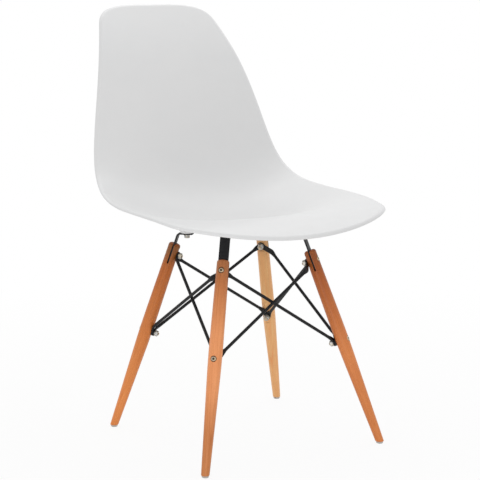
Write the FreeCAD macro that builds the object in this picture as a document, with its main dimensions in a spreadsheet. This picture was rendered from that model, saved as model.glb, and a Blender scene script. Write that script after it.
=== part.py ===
"""Moulded plastic shell chair on four wooden legs with steel brackets and crossed wire braces.

Millimetres, +Z up, the floor at Z = 0. The sitter faces -Y and has +X on the left hand.
The origin is on the floor, under the middle of the chair's length and width.
"""
import FreeCAD, Part
import math
import os

import Sketcher
from FreeCAD import Placement, Rotation, Vector

# Driving sizes: alias, value, meaning
SIZES = [
    ("shell_width", 480.0, "widest part of the shell, at the hips"),
    ("shell_reach", 591.0, "front lip to top of the back, along Y, on the centre line"),
    ("shell_rise", 420.0, "lowest point of the seat to the top of the back"),
    ("shell_wall", 5.0, "thickness of the moulded plastic"),
    ("dish_height", 58.0, "how far the sides stand over the centre line at the hips"),
    ("seat_over_mount", 7.0, "lowest point of the seat over the rear mounting faces"),
    ("boss_diameter", 26.0, "mounting boss under the seat"),
    ("boss_rib_reach", 27.0, "boss axis to the end of its ribs"),
    ("boss_rib_step", 2.5, "end of a rib over the mounting face, at the boss"),
    ("boss_rib_run", 8.0, "how much a rib climbs from the boss to its end"),
    ("boss_rib_wall", 3.0, "rib beside a boss"),
    ("insert_diameter", 8.6, "threaded insert in a boss"),
    ("insert_length", 9.0, "threaded insert in a boss"),
    ("insert_groove", 0.5, "groove round an insert"),
    ("insert_gap", 0.5, "hole in the boss beyond the insert"),
    ("bolt_tip_gap", 0.5, "end of a seat bolt short of the insert's end"),
    ("leg_length", 391.0, "top of the leg to the middle of its cut foot, along its axis"),
    ("leg_top_diameter", 23.0, "leg at its top, before rounding"),
    ("leg_belly_diameter", 26.2, "leg at the lower bolt, its thickest place"),
    ("leg_foot_diameter", 15.4, "leg at its foot"),
    ("leg_top_round", 4.5, "rounding of the leg's top"),
    ("belly_blend", 35.0, "lower bolt to the ends of the soft turn between the leg's two tapers"),
    ("front_splay", 21.0, "tilt of the front legs from upright, in degrees"),
    ("rear_splay", 19.0, "tilt of the rear legs from upright, in degrees"),
    ("front_turn", 44.5, "direction in which the front legs lean, from straight ahead, in degrees"),
    ("rear_turn", 47.0, "direction in which the rear legs lean, from straight behind, in degrees"),
    ("front_top_spread", 95.0, "top of a front leg from the centre plane"),
    ("rear_top_spread", 98.5, "top of a rear leg from the centre plane"),
    ("leg_tops_apart", 175.0, "front leg tops to rear leg tops, along Y"),
    ("front_tops_back", 140.5, "front lip of the shell to the front leg tops, along Y"),
    ("upper_bolt_drop", 20.0, "upper bolt below the leg's top, along the leg"),
    ("lower_bolt_drop", 183.0, "lower bolt below the leg's top, along the leg"),
    ("slot_depth", 40.0, "slot in the leg's top"),
    ("seat_face_depth", 1.2, "flat milled on the inner side of the leg at a bolt"),
    ("upper_face_reach", 13.0, "upper bolt to the end of its flat, along the leg"),
    ("lower_face_reach", 18.0, "lower bolt to the end of its flat, along the leg"),
    ("head_sink", 3.3, "counterbore under a bolt head, from the leg's outer side"),
    ("strip_width", 19.0, "steel bracket"),
    ("strip_wall", 3.0, "steel bracket"),
    ("strip_end_gap", 2.0, "end of the bracket over the bottom of the slot"),
    ("strip_corner", 3.0, "rounded corners of the bracket's ends"),
    ("strip_bend", 4.0, "inner radius of the bracket's bend"),
    ("front_strip_rise", 46.0, "front leg's top to the mounting face, along the leg"),
    ("rear_strip_rise", 23.0, "rear leg's top to the mounting face, along the leg"),
    ("flange_length", 28.0, "bracket's flange, from the corner"),
    ("flange_bolt_reach", 16.0, "seat bolt from the corner of the bracket"),
    ("wire_diameter", 6.0, "brace wire"),
    ("blade_wall", 3.2, "flattened end of a brace"),
    ("blade_width", 10.0, "flattened end of a brace"),
    ("eye_diameter", 14.0, "round end of a brace about its bolt"),
    ("flare_length", 14.0, "length over which a flat end becomes round wire"),
    ("inner_tab", 8.5, "bolt to either bend of the arm that passes inside"),
    ("outer_tab", 25.0, "upper bolt to the bend of the arm that passes outside"),
    ("outer_lower_tab", 16.0, "lower bolt to the bend of the arm that passes outside"),
    ("bolt_diameter", 6.0, "every bolt"),
    ("bolt_clearance", 0.25, "gap round a bolt in its hole, on radius"),
    ("thread_clearance", 0.05, "gap between a bolt and its nut or insert, on radius"),
    ("head_diameter", 10.5, "button head"),
    ("head_height", 3.3, "button head"),
    ("head_clearance", 0.5, "gap round a head in its counterbore, on radius"),
    ("head_edge", 0.6, "upright edge of a button head"),
    ("thread_chamfer", 0.6, "bevel at the end of a bolt"),
    ("socket_across", 4.0, "hexagon socket in a button head, across flats"),
    ("socket_depth", 2.0, "hexagon socket in a button head"),
    ("bolt_end_show", 2.0, "bolt beyond its nut"),
    ("nut_across", 10.0, "hexagon nut and hexagon head, across flats"),
    ("nut_height", 5.0, "hexagon nut"),
    ("washer_diameter", 12.0, "flat washer"),
    ("washer_wall", 1.6, "flat washer"),
    ("spring_washer_diameter", 11.0, "split spring washer"),
    ("spring_washer_wall", 1.5, "split spring washer"),
    ("hex_head_height", 4.0, "head of a seat bolt"),
    ("glide_height", 4.0, "plastic foot glide under the wood"),
    ("glide_diameter", 13.0, "plastic foot glide"),
    ("glide_round", 1.2, "rounding of the glide's edge on the floor"),
    ("nail_diameter", 2.0, "nail of a glide"),
    ("nail_length", 12.0, "nail of a glide, in the wood"),
    ("nail_head_diameter", 5.0, "nail of a glide"),
    ("nail_head_height", 1.0, "nail of a glide"),
    ("nail_head_gap", 0.3, "gap round the nail's head, on radius"),
    ("nail_fit", 0.05, "gap round a nail, on radius"),
    ("nail_head_sink", 1.2, "nail head above the floor"),
    ("slot_clearance", 0.15, "gap on each flat side of a bracket in its slot"),
]

# Centre line of the shell from the front lip to the top of the back: station, share of the
# reach, share of the rise
CENTRE_LINE = [
    (0.00, 0.000, 0.057),
    (0.06, 0.080, 0.098),
    (0.18, 0.249, 0.086),
    (0.34, 0.467, 0.000),
    (0.48, 0.660, 0.067),
    (0.58, 0.756, 0.212),
    (0.68, 0.805, 0.405),
    (0.84, 0.877, 0.726),
    (1.00, 1.000, 1.000),
]
# Half width of the shell: station, share of the widest
HALF_WIDTH = [
    (0.00, 0.854),
    (0.15, 0.983),
    (0.33, 1.000),
    (0.50, 0.933),
    (0.66, 0.829),
    (0.83, 0.675),
    (1.00, 0.490),
]
# Height of the sides over the centre line: station, share of the highest
DISH = [
    (0.00, 0.14),
    (0.12, 0.14),
    (0.28, 0.93),
    (0.45, 1.00),
    (0.60, 0.50),
    (0.75, 0.33),
    (1.00, 0.12),
]
# Rounded corners of the outline: length along the centre line and fullness of the curve
FRONT_CORNER = (0.116, 2.1)
TOP_CORNER = (0.064, 3.2)

# Legs in order round the chair: name, side of the centre plane, front or rear
LEGS = [
    ("front_right", -1, "front"),
    ("front_left", 1, "front"),
    ("rear_left", 1, "rear"),
    ("rear_right", -1, "rear"),
]

doc = FreeCAD.newDocument("ShellChair")
sheet = doc.addObject("Spreadsheet::Sheet", "Sizes")
for row, (alias, amount, meaning) in enumerate(SIZES, start=1):
    sheet.set("A%d" % row, alias)
    sheet.set("B%d" % row, "%g" % amount)
    sheet.set("C%d" % row, meaning)
    sheet.setAlias("B%d" % row, alias)
doc.recompute()


def size(alias):
    """One driving size from the sheet."""
    return float(sheet.get(alias))


def value(expression):
    """The number that an expression over the sheet gives."""
    return float(sheet.evalExpression(expression))


# Sketch and feature helpers
def new_body(name):
    """An empty body, named as the piece is."""
    body = doc.addObject("PartDesign::Body", name)
    body.Label = name
    return body


def origin_plane(body, role):
    """One of the three origin planes of a body."""
    for feature in body.Origin.OriginFeatures:
        if feature.Role == role:
            return feature
    raise ValueError("no origin plane " + role)


def new_sketch(body, name, role, raise_by=None):
    """An empty sketch on an origin plane, moved along the plane's normal if asked."""
    sketch = body.newObject("Sketcher::SketchObject", name)
    sketch.AttachmentSupport = (origin_plane(body, role), [""])
    sketch.MapMode = "FlatFace"
    if raise_by:
        sketch.setExpression("AttachmentOffset.Base.z", raise_by)
    return sketch


def hold_point(sketch, geometry, corner, label, across, along):
    """Fix a point of the sketch at two expressions measured from the sketch's origin."""
    for kind, axis, expression in (("DistanceX", -2, across), ("DistanceY", -1, along)):
        if expression == "0":
            sketch.addConstraint(Sketcher.Constraint("PointOnObject", geometry, corner, axis))
            continue
        constraint = Sketcher.Constraint(kind, -1, 1, geometry, corner, value(expression))
        index = sketch.addConstraint(constraint)
        sketch.renameConstraint(index, "%s_%s" % (label, kind[-1].lower()))
        sketch.setExpression("Constraints.%s_%s" % (label, kind[-1].lower()), expression)


def polygon(body, name, role, corners, raise_by=None, bow=None):
    """A closed outline of straight lines whose corners are pairs of expressions.

    The line numbered bow is an arc instead, tangent to the line before it.
    """
    sketch = new_sketch(body, name, role, raise_by)
    spots = [Vector(value(across), value(along), 0) for across, along in corners]
    count = len(spots)
    starts = [1] * count
    for index in range(count):
        here = spots[index]
        there = spots[(index + 1) % count]
        if index != bow:
            sketch.addGeometry(Part.LineSegment(here, there), False)
            continue
        run = here - spots[index - 1]
        left = Vector(-run.y, run.x, 0) / run.Length
        chord = there - here
        radius = chord.dot(chord) / (2 * chord.dot(left))
        centre = here + left * radius
        starts[index] = 1 if radius > 0 else 2
        turns = [math.atan2(spot.y - centre.y, spot.x - centre.x) for spot in (here, there)]
        if radius < 0:
            turns.reverse()
        ring = Part.Circle(centre, Vector(0, 0, 1), abs(radius))
        sketch.addGeometry(Part.ArcOfCircle(ring, turns[0], turns[1]), False)
    for index in range(count):
        after = (index + 1) % count
        kind = "Tangent" if after == bow else "Coincident"
        sketch.addConstraint(Sketcher.Constraint(kind, index, 3 - starts[index], after, starts[after]))
    for index, (across, along) in enumerate(corners):
        hold_point(sketch, index, starts[index], "corner%d" % index, across, along)
    return sketch


def circles(body, name, role, spots, raise_by=None):
    """Circles, each given by the expressions of its centre and its diameter."""
    sketch = new_sketch(body, name, role, raise_by)
    for index, (across, along, diameter) in enumerate(spots):
        centre = Vector(value(across), value(along), 0)
        sketch.addGeometry(Part.Circle(centre, Vector(0, 0, 1), value(diameter) / 2), False)
        hold_point(sketch, index, 3, "centre%d" % index, across, along)
        number = sketch.addConstraint(Sketcher.Constraint("Diameter", index, value(diameter)))
        sketch.renameConstraint(number, "diameter%d" % index)
        sketch.setExpression("Constraints.diameter%d" % index, diameter)
    return sketch


def tilted_circle(body, name, across, up, tilt, diameter):
    """A circle about a point of the XZ plane, square to a line that leans by tilt towards +X."""
    sketch = circles(body, name, "XY_Plane", [("0", "0", diameter)])
    sketch.AttachmentOffset = Placement(Vector(0, 0, 0), Rotation(Vector(0, 1, 0), value(tilt)))
    sketch.setExpression("AttachmentOffset.Base.x", across)
    sketch.setExpression("AttachmentOffset.Base.z", up)
    sketch.setExpression("AttachmentOffset.Rotation.Angle", tilt)
    return sketch


def revolve(body, sketch, name):
    """A full turn of a sketch about its vertical axis."""
    feature = body.newObject("PartDesign::Revolution", name)
    feature.Profile = sketch
    feature.ReferenceAxis = (sketch, ["V_Axis"])
    feature.Angle = 360
    doc.recompute()
    return feature


def pocket(body, sketch, name, length=None, backwards=False):
    """Cut a sketch both ways through everything, or one way to a depth."""
    feature = body.newObject("PartDesign::Pocket", name)
    feature.Profile = sketch
    if length is None:
        feature.Type = "ThroughAll"
        feature.Midplane = True
    else:
        feature.Type = "Length"
        feature.setExpression("Length", length)
        feature.Reversed = backwards
    before = body.Shape.Volume
    doc.recompute()
    if not body.Shape.Volume < before - 0.5:
        raise ValueError("%s cuts nothing" % name)
    return feature


def pad(body, sketch, name, length, centred=False):
    """Thicken a sketch along its normal."""
    feature = body.newObject("PartDesign::Pad", name)
    feature.Profile = sketch
    feature.Type = "Length"
    feature.setExpression("Length", length)
    feature.Midplane = centred
    doc.recompute()
    return feature


def fillet(body, name, radius, wanted):
    """Round the edges of the body for which the test is true."""
    base = body.Tip
    names = ["Edge%d" % (index + 1) for index, edge in enumerate(base.Shape.Edges) if wanted(edge)]
    if not names:
        raise ValueError("%s finds no edge" % name)
    feature = body.newObject("PartDesign::Fillet", name)
    feature.Base = (base, names)
    feature.setExpression("Radius", radius)
    doc.recompute()
    return feature


def plain_piece(name, shape):
    """A piece whose shape is worked out directly."""
    piece = doc.addObject("Part::Feature", name)
    piece.Label = name
    piece.Shape = shape
    return piece


# Curves of the shell
class Spline:
    """Natural cubic spline through rows of station and amounts: it has no bend at its ends."""

    def __init__(self, rows):
        self.stations = [row[0] for row in rows]
        self.spots = [Vector(*(list(row[1:]) + [0, 0])[:3]) for row in rows]
        self.bends = [Vector(0, 0, 0) for row in rows]
        ratios = [0.0]
        parts = [Vector(0, 0, 0)]
        for row in range(1, len(rows) - 1):
            before = self.stations[row] - self.stations[row - 1]
            after = self.stations[row + 1] - self.stations[row]
            change = (self.spots[row + 1] - self.spots[row]) * (6 / after)
            change = change - (self.spots[row] - self.spots[row - 1]) * (6 / before)
            pivot = 2 * (before + after) - before * ratios[-1]
            parts.append((change - parts[-1] * before) * (1 / pivot))
            ratios.append(after / pivot)
        for row in range(len(rows) - 2, 0, -1):
            self.bends[row] = parts[row] - self.bends[row + 1] * ratios[row]

    def at(self, station):
        """Point and slope at a station, carried straight on past the ends."""
        inside = min(max(station, self.stations[0]), self.stations[-1])
        row = 0
        while row < len(self.stations) - 2 and self.stations[row + 1] <= inside:
            row += 1
        gap = self.stations[row + 1] - self.stations[row]
        late = (inside - self.stations[row]) / gap
        early = 1 - late
        start, finish = self.spots[row], self.spots[row + 1]
        bend, next_bend = self.bends[row], self.bends[row + 1]
        spot = start * early + finish * late
        spot = spot + (bend * (early ** 3 - early) + next_bend * (late ** 3 - late)) * (gap * gap / 6)
        slope = (finish - start) * (1 / gap)
        slope = slope + (next_bend * (3 * late ** 2 - 1) - bend * (3 * early ** 2 - 1)) * (gap / 6)
        return spot + slope * (station - inside), slope


centre_line = Spline([(s, size("shell_reach") * y, size("shell_rise") * z) for s, y, z in CENTRE_LINE])
half_width = Spline([(s, share * size("shell_width") / 2) for s, share in HALF_WIDTH])
dish = Spline([(s, share * size("dish_height")) for s, share in DISH])
# The top edge leans back, so the outer side of the wall ends this far behind its inner side
top_slope = centre_line.at(1.0)[1]
overhang = size("shell_wall") * top_slope.y / top_slope.Length
lip_row = -(size("shell_reach") + overhang) / 2


# Frames of the legs
class LegFrame:
    """Where a leg stands: x outward across it, y along its tangent, z up along it, from its top."""

    def __init__(self, name, side, end):
        self.name = name
        self.end = end
        self.splay = math.radians(size(end + "_splay"))
        turn = math.radians(size(end + "_turn"))
        along = -1 if end == "front" else 1
        self.outward = Vector(side * math.sin(turn), along * math.cos(turn), 0)
        row = lip_row + size("front_tops_back") + (0 if end == "front" else size("leg_tops_apart"))
        height = size("glide_height") + size("leg_length") * math.cos(self.splay)
        self.top = Vector(side * size(end + "_top_spread"), row, height)
        up = Vector(0, 0, 1)
        self.across = self.outward * math.cos(self.splay) + up * math.sin(self.splay)
        self.up = up * math.cos(self.splay) - self.outward * math.sin(self.splay)
        self.tangent = self.up.cross(self.across)
        self.placement = Placement(self.top, Rotation(self.across, self.tangent, self.up, "ZXY"))
        self.mount_rise = size(end + "_strip_rise")
        self.mount_height = self.top.z + self.mount_rise * math.cos(self.splay)

    def point(self, across, tangent, up):
        """A point given in the leg's own directions."""
        return self.top + self.across * across + self.tangent * tangent + self.up * up

    def seat_bolt(self):
        """Where the seat bolt's axis meets the mounting face."""
        corner = self.point(0, 0, self.mount_rise)
        spot = corner - self.outward * size("flange_bolt_reach")
        return Vector(spot.x, spot.y, self.mount_height)

    def foot(self):
        """Middle of the leg's cut foot."""
        return self.point(0, 0, -size("leg_length"))


frames = [LegFrame(*leg) for leg in LEGS]


def leg_radius(drop):
    """Radius of the leg above its thickest place, at a distance below its top."""
    top = size("leg_top_diameter") / 2
    belly = size("leg_belly_diameter") / 2
    return top + (belly - top) * drop / size("lower_bolt_drop")


def bolt_face(drop):
    """Distance from the leg's axis to the flat milled on its inner side."""
    return leg_radius(drop) - size("seat_face_depth")


def head_face(drop):
    """Distance from the leg's axis to the bottom of the counterbore on its outer side."""
    return leg_radius(drop) - size("head_sink")


RADIUS_AT = {
    "upper": "(Sizes.leg_top_diameter / 2 + (Sizes.leg_belly_diameter - Sizes.leg_top_diameter) / 2"
             " * Sizes.upper_bolt_drop / Sizes.lower_bolt_drop)",
    "lower": "(Sizes.leg_belly_diameter / 2)",
}


# Wooden legs
def make_leg(frame):
    """Turned leg: two tapers, rounded top with a slot, two bolt holes and a level foot."""
    body = new_body("leg_" + frame.name)
    splay = "Sizes.%s_splay" % frame.end
    spare = "Sizes.leg_foot_diameter"
    upper_taper = "((Sizes.leg_belly_diameter - Sizes.leg_top_diameter) / 2 / Sizes.lower_bolt_drop)"
    lower_taper = ("((Sizes.leg_belly_diameter - Sizes.leg_foot_diameter) / 2"
                   " / (Sizes.leg_length - Sizes.lower_bolt_drop))")
    belly = "Sizes.leg_belly_diameter / 2 - %s * Sizes.belly_blend"
    profile = polygon(body, "Turning", "XZ_Plane", [
        ("0", "0"),
        ("Sizes.leg_top_diameter / 2", "0"),
        (belly % upper_taper, "-Sizes.lower_bolt_drop + Sizes.belly_blend"),
        (belly % lower_taper, "-Sizes.lower_bolt_drop - Sizes.belly_blend"),
        ("Sizes.leg_foot_diameter / 2 - %s * %s" % (lower_taper, spare), "-Sizes.leg_length - " + spare),
        ("0", "-Sizes.leg_length - " + spare),
    ], bow=2)
    revolve(body, profile, "Turned")
    top_radius = size("leg_top_diameter") / 2

    def at_top(edge):
        circle = edge.isClosed() and abs(edge.CenterOfMass.z) < 0.01
        return circle and abs(edge.Length - 2 * math.pi * top_radius) < 0.01

    fillet(body, "RoundTop", "Sizes.leg_top_round", at_top)
    half_slot = "(Sizes.strip_wall / 2 + Sizes.slot_clearance)"
    slot = polygon(body, "SlotOutline", "XZ_Plane", [
        ("-" + half_slot, "-Sizes.slot_depth"),
        (half_slot, "-Sizes.slot_depth"),
        (half_slot, "Sizes.slot_depth"),
        ("-" + half_slot, "Sizes.slot_depth"),
    ])
    pocket(body, slot, "Slot")
    past = "Sizes.leg_belly_diameter * 2"
    foot = polygon(body, "FootOutline", "XZ_Plane", [
        ("-%s * cos(%s)" % (past, splay), "-Sizes.leg_length + %s * sin(%s)" % (past, splay)),
        ("%s * cos(%s)" % (past, splay), "-Sizes.leg_length - %s * sin(%s)" % (past, splay)),
        ("%s * cos(%s)" % (past, splay), "-Sizes.leg_length - %s * 2" % past),
        ("-%s * cos(%s)" % (past, splay), "-Sizes.leg_length - %s * 2" % past),
    ])
    pocket(body, foot, "LevelFoot")
    hole = "Sizes.bolt_diameter + 2 * Sizes.bolt_clearance"
    holes = circles(body, "BoltHoles", "YZ_Plane", [
        ("0", "-Sizes.upper_bolt_drop", hole),
        ("0", "-Sizes.lower_bolt_drop", hole),
    ])
    pocket(body, holes, "Bolts")
    for level in ("upper", "lower"):
        drop = "-Sizes.%s_bolt_drop" % level
        outer = "%s - Sizes.head_sink" % RADIUS_AT[level]
        sink = circles(body, level.title() + "SinkOutline", "YZ_Plane",
                       [("0", drop, "Sizes.head_diameter + 2 * Sizes.head_clearance")], outer)
        pocket(body, sink, level.title() + "Sink", "Sizes.head_sink * 2", True)
        inner = "-(%s - Sizes.seat_face_depth)" % RADIUS_AT[level]
        wide = "Sizes.leg_belly_diameter"
        reach = "Sizes.%s_face_reach" % level
        flat = polygon(body, level.title() + "FlatOutline", "YZ_Plane", [
            ("-" + wide, "%s - %s" % (drop, reach)),
            (wide, "%s - %s" % (drop, reach)),
            (wide, "%s + %s" % (drop, reach)),
            ("-" + wide, "%s + %s" % (drop, reach)),
        ], inner)
        pocket(body, flat, level.title() + "Flat", "Sizes.seat_face_depth * 2")
    nail_hole = "Sizes.nail_diameter + 2 * Sizes.nail_fit"
    nail = tilted_circle(body, "NailHole", "0", "-Sizes.leg_length", splay, nail_hole)
    pocket(body, nail, "Nail", "Sizes.nail_length + Sizes.nail_fit", True)
    body.Placement = frame.placement
    return body


# Steel brackets
def make_bracket(frame):
    """Flat strip that stands in the leg's slot and turns inward as a level flange under the seat."""
    body = new_body("bracket_" + frame.name)
    splay = "Sizes.%s_splay" % frame.end
    rise = "Sizes.%s_strip_rise" % frame.end
    half = "Sizes.strip_wall / 2"
    far = "Sizes.flange_length * cos(%s)" % splay
    # Across a leg, the level mounting face climbs by the tangent of the splay
    upper = "%s + %%s * tan(%s)" % (rise, splay)
    lower = "%s - Sizes.strip_wall / cos(%s) + %%s * tan(%s)" % (rise, splay, splay)
    bottom = "-(Sizes.slot_depth - Sizes.strip_end_gap)"
    profile = polygon(body, "Side", "XZ_Plane", [
        (half, bottom),
        (half, upper % ("(-(%s))" % half)),
        ("-(%s)" % far, upper % ("(%s)" % far)),
        ("-(%s) + Sizes.strip_wall * sin(%s)" % (far, splay),
         (upper % ("(%s)" % far)) + " - Sizes.strip_wall * cos(%s)" % splay),
        ("-(%s)" % half, lower % ("(%s)" % half)),
        ("-(%s)" % half, bottom),
    ])
    pad(body, profile, "Strip", "Sizes.strip_width", True)
    inner = -size("strip_wall") / 2

    def bend_at(across):
        def test(edge):
            spot = edge.CenterOfMass
            flat = len(edge.Vertexes) == 2 and abs(edge.Length - size("strip_width")) < 0.01
            return flat and abs(spot.x - across) < 0.01 and spot.z > 0
        return test

    fillet(body, "InnerBend", "Sizes.strip_bend", bend_at(inner))
    fillet(body, "OuterBend", "Sizes.strip_bend + Sizes.strip_wall", bend_at(-inner))
    hole = "Sizes.bolt_diameter + 2 * Sizes.bolt_clearance"
    bolt = circles(body, "BoltHole", "YZ_Plane", [("0", "-Sizes.upper_bolt_drop", hole)])
    pocket(body, bolt, "Bolt")
    reach = "Sizes.flange_bolt_reach"
    seat = tilted_circle(body, "SeatBoltHole", "-%s * cos(%s)" % (reach, splay),
                         "%s + %s * sin(%s)" % (rise, reach, splay), splay, hole)
    pocket(body, seat, "SeatBolt")

    def at_corner(edge):
        beside = abs(abs(edge.CenterOfMass.y) - size("strip_width") / 2) < 0.001
        return beside and len(edge.Vertexes) == 2 and abs(edge.Length - size("strip_wall")) < 0.001

    fillet(body, "RoundCorners", "Sizes.strip_corner", at_corner)
    body.Placement = frame.placement
    return body


# Crossed braces
def section(centre, wide, thick, breadth, depth, fullness):
    """Closed curve |a / (breadth/2)|^n + |b / (depth/2)|^n = 1 about a centre, n being the fullness."""
    spots = []
    steps = 24
    for step in range(steps):
        turn = 2 * math.pi * step / steps
        cosine = math.cos(turn)
        sine = math.sin(turn)
        across = math.copysign(abs(cosine) ** (2 / fullness), cosine) * breadth / 2
        along = math.copysign(abs(sine) ** (2 / fullness), sine) * depth / 2
        spots.append(centre + wide * across + thick * along)
    curve = Part.BSplineCurve()
    curve.interpolate(Points=spots, PeriodicFlag=True)
    return Part.Wire([curve.toShape()])


def unit(vector):
    """The same direction, one long."""
    return vector / vector.Length


def flat_direction(frame, run):
    """Direction of a run, laid flat on the plane across the frame's bolt."""
    return unit(run - frame.across * run.dot(frame.across))


class ArmEnd:
    """Flat end of an arm: the eye on its bolt, the tab beside it and the bend where the wire leaves."""

    def __init__(self, frame, drop, layer, tab):
        self.frame = frame
        depth = bolt_face(drop) + (layer + 0.5) * size("blade_wall")
        self.eye = frame.point(-depth, 0, -drop)
        self.tab = tab

    def aim(self, target):
        """Turn the tab towards a target and place the bend."""
        self.along = flat_direction(self.frame, target - self.eye)
        self.bend = self.eye + self.along * self.tab

    def solids(self, run):
        """The eye, the tab and the rounded bend, for a wire that leaves along run."""
        wall = size("blade_wall")
        width = size("blade_width")
        normal = self.frame.across
        side = unit(normal.cross(run))
        base = self.eye - normal * (wall / 2)
        eye = Part.makeCylinder(size("eye_diameter") / 2, wall, base, normal)
        square = unit(normal.cross(self.along))
        corners = [
            base + square * (width / 2),
            base - square * (width / 2),
            self.bend - normal * (wall / 2) - side * (width / 2),
            self.bend - normal * (wall / 2) + side * (width / 2),
        ]
        outline = Part.makePolygon(corners + corners[:1])
        tab = Part.Face(outline).extrude(normal * wall)
        bend = Part.makeCylinder(wall / 2, width, self.bend - side * (width / 2), side)
        return [eye, tab, bend]


def arm_solids(start, finish):
    """One arm of a brace: flat at both ends and round wire between them."""
    start.aim(finish.eye)
    finish.aim(start.eye)
    run = unit(finish.bend - start.bend)
    steps = 4
    rows = []
    for end, way in ((start, 1), (finish, -1)):
        side = unit(start.frame.across.cross(run)) if way > 0 else unit(run.cross(finish.frame.across))
        thick = unit(side.cross(run))
        for step in range(steps + 1):
            share = step / steps if way > 0 else 1 - step / steps
            smooth = share * share * (3 - 2 * share)
            breadth = size("blade_width") + (size("wire_diameter") - size("blade_width")) * smooth
            depth = size("blade_wall") + (size("wire_diameter") - size("blade_wall")) * smooth
            centre = end.bend + run * (way * share * size("flare_length"))
            rows.append(section(centre, side, thick, breadth, depth, 6 - 4 * smooth))
    solids = [Part.makeLoft(rows, True, True)]
    solids += start.solids(run)
    solids += finish.solids(run * -1)
    return solids, (start.bend, finish.bend)


def make_brace(number):
    """V of wire from a leg's upper bolt to the lower bolts of the two legs beside it."""
    here = frames[number]
    after = frames[(number + 1) % len(frames)]
    before = frames[number - 1]
    upper = size("upper_bolt_drop")
    lower = size("lower_bolt_drop")
    solids = []
    lines = []
    inner = size("inner_tab"), size("inner_tab")
    outer = size("outer_tab"), size("outer_lower_tab")
    for other, layer, tabs in ((after, 1, inner), (before, 0, outer)):
        start = ArmEnd(here, upper, 0, tabs[0])
        finish = ArmEnd(other, lower, layer, tabs[1])
        arm, line = arm_solids(start, finish)
        solids += arm
        lines.append(line)
    shape = solids[0].multiFuse(solids[1:])
    hole = size("bolt_diameter") / 2 + size("bolt_clearance")
    wall = size("blade_wall")
    spots = [(here, upper, 0), (after, lower, 1), (before, lower, 0)]
    for frame, drop, layer in spots:
        spot = frame.point(-bolt_face(drop) - (layer + 1.5) * wall, 0, -drop)
        shape = shape.cut(Part.makeCylinder(hole, 2 * wall, spot, frame.across))
    return plain_piece("brace_" + here.name, shape), lines


# Fasteners, each modelled once and then placed on every leg
def make_button_bolt(name, length):
    """Button-head bolt along Z with the seat of its head at Z = 0 and its shank below."""
    body = new_body(name)
    half = "Sizes.bolt_diameter / 2"
    profile = polygon(body, "Turning", "XZ_Plane", [
        ("0", "-(%s)" % length),
        ("%s - Sizes.thread_chamfer" % half, "-(%s)" % length),
        (half, "-(%s) + Sizes.thread_chamfer" % length),
        (half, "0"),
        ("Sizes.head_diameter / 2", "0"),
        ("Sizes.head_diameter / 2", "Sizes.head_edge"),
        ("Sizes.head_diameter * 0.3", "Sizes.head_height"),
        ("0", "Sizes.head_height"),
    ], bow=5)
    revolve(body, profile, "Turned")
    socket = hexagon(body, "SocketOutline", "Sizes.socket_across", "Sizes.head_height")
    pocket(body, socket, "Socket", "Sizes.socket_depth")
    return body


def hexagon(body, name, across_flats, raise_by=None):
    """A hexagon about the Z axis, given by its size across flats."""
    corners = []
    for step in range(6):
        turn = step * 60
        corner = "%s / sqrt(3)" % across_flats
        across = "0" if turn in (90, 270) else "%s * cos(%d)" % (corner, turn)
        along = "0" if turn in (0, 180) else "%s * sin(%d)" % (corner, turn)
        corners.append((across, along))
    return polygon(body, name, "XY_Plane", corners, raise_by)


def bevel(body, name, level, inward):
    """Turn off the corners of a hexagon about Z at one of its ends."""
    inside = "Sizes.nut_across / 2 * 0.98"
    outside = "Sizes.nut_across * 0.6"
    profile = polygon(body, name + "Outline", "XZ_Plane", [
        (inside, level),
        (outside, level),
        (outside, "%s %s Sizes.nut_across * 0.06" % (level, inward)),
    ])
    feature = body.newObject("PartDesign::Groove", name)
    feature.Profile = profile
    feature.ReferenceAxis = (profile, ["V_Axis"])
    feature.Angle = 360
    before = body.Shape.Volume
    doc.recompute()
    if not body.Shape.Volume < before:
        raise ValueError("%s cuts nothing" % name)


def make_nut(name):
    """Hexagon nut on Z = 0, bevelled at both ends."""
    body = new_body(name)
    pad(body, hexagon(body, "Outline", "Sizes.nut_across"), "Nut", "Sizes.nut_height")
    across = "Sizes.bolt_diameter + 2 * Sizes.thread_clearance"
    bore = circles(body, "BoreOutline", "XY_Plane", [("0", "0", across)])
    pocket(body, bore, "Bore")
    bevel(body, "LowerBevel", "0.0 * Sizes.nut_height", "+")
    bevel(body, "UpperBevel", "Sizes.nut_height", "-")
    return body


def make_ring(name, outer, inner, wall):
    """Flat ring on Z = 0."""
    body = new_body(name)
    rings = circles(body, "Rings", "XY_Plane", [("0", "0", outer), ("0", "0", inner)])
    pad(body, rings, "Ring", wall)
    return body


def make_spring_washer(name):
    """Ring on Z = 0 with a slanted split."""
    body = make_ring(name, "Sizes.spring_washer_diameter", "Sizes.bolt_diameter + 2 * Sizes.bolt_clearance",
                     "Sizes.spring_washer_wall")
    wall = "Sizes.spring_washer_wall"
    split = polygon(body, "SplitOutline", "XZ_Plane", [
        ("-%s" % wall, "-%s / 2" % wall),
        ("-%s / 2" % wall, "-%s / 2" % wall),
        ("%s" % wall, "%s * 1.5" % wall),
        ("%s / 2" % wall, "%s * 1.5" % wall),
    ])
    feature = pocket(body, split, "Split", "Sizes.spring_washer_diameter")
    return body


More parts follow.
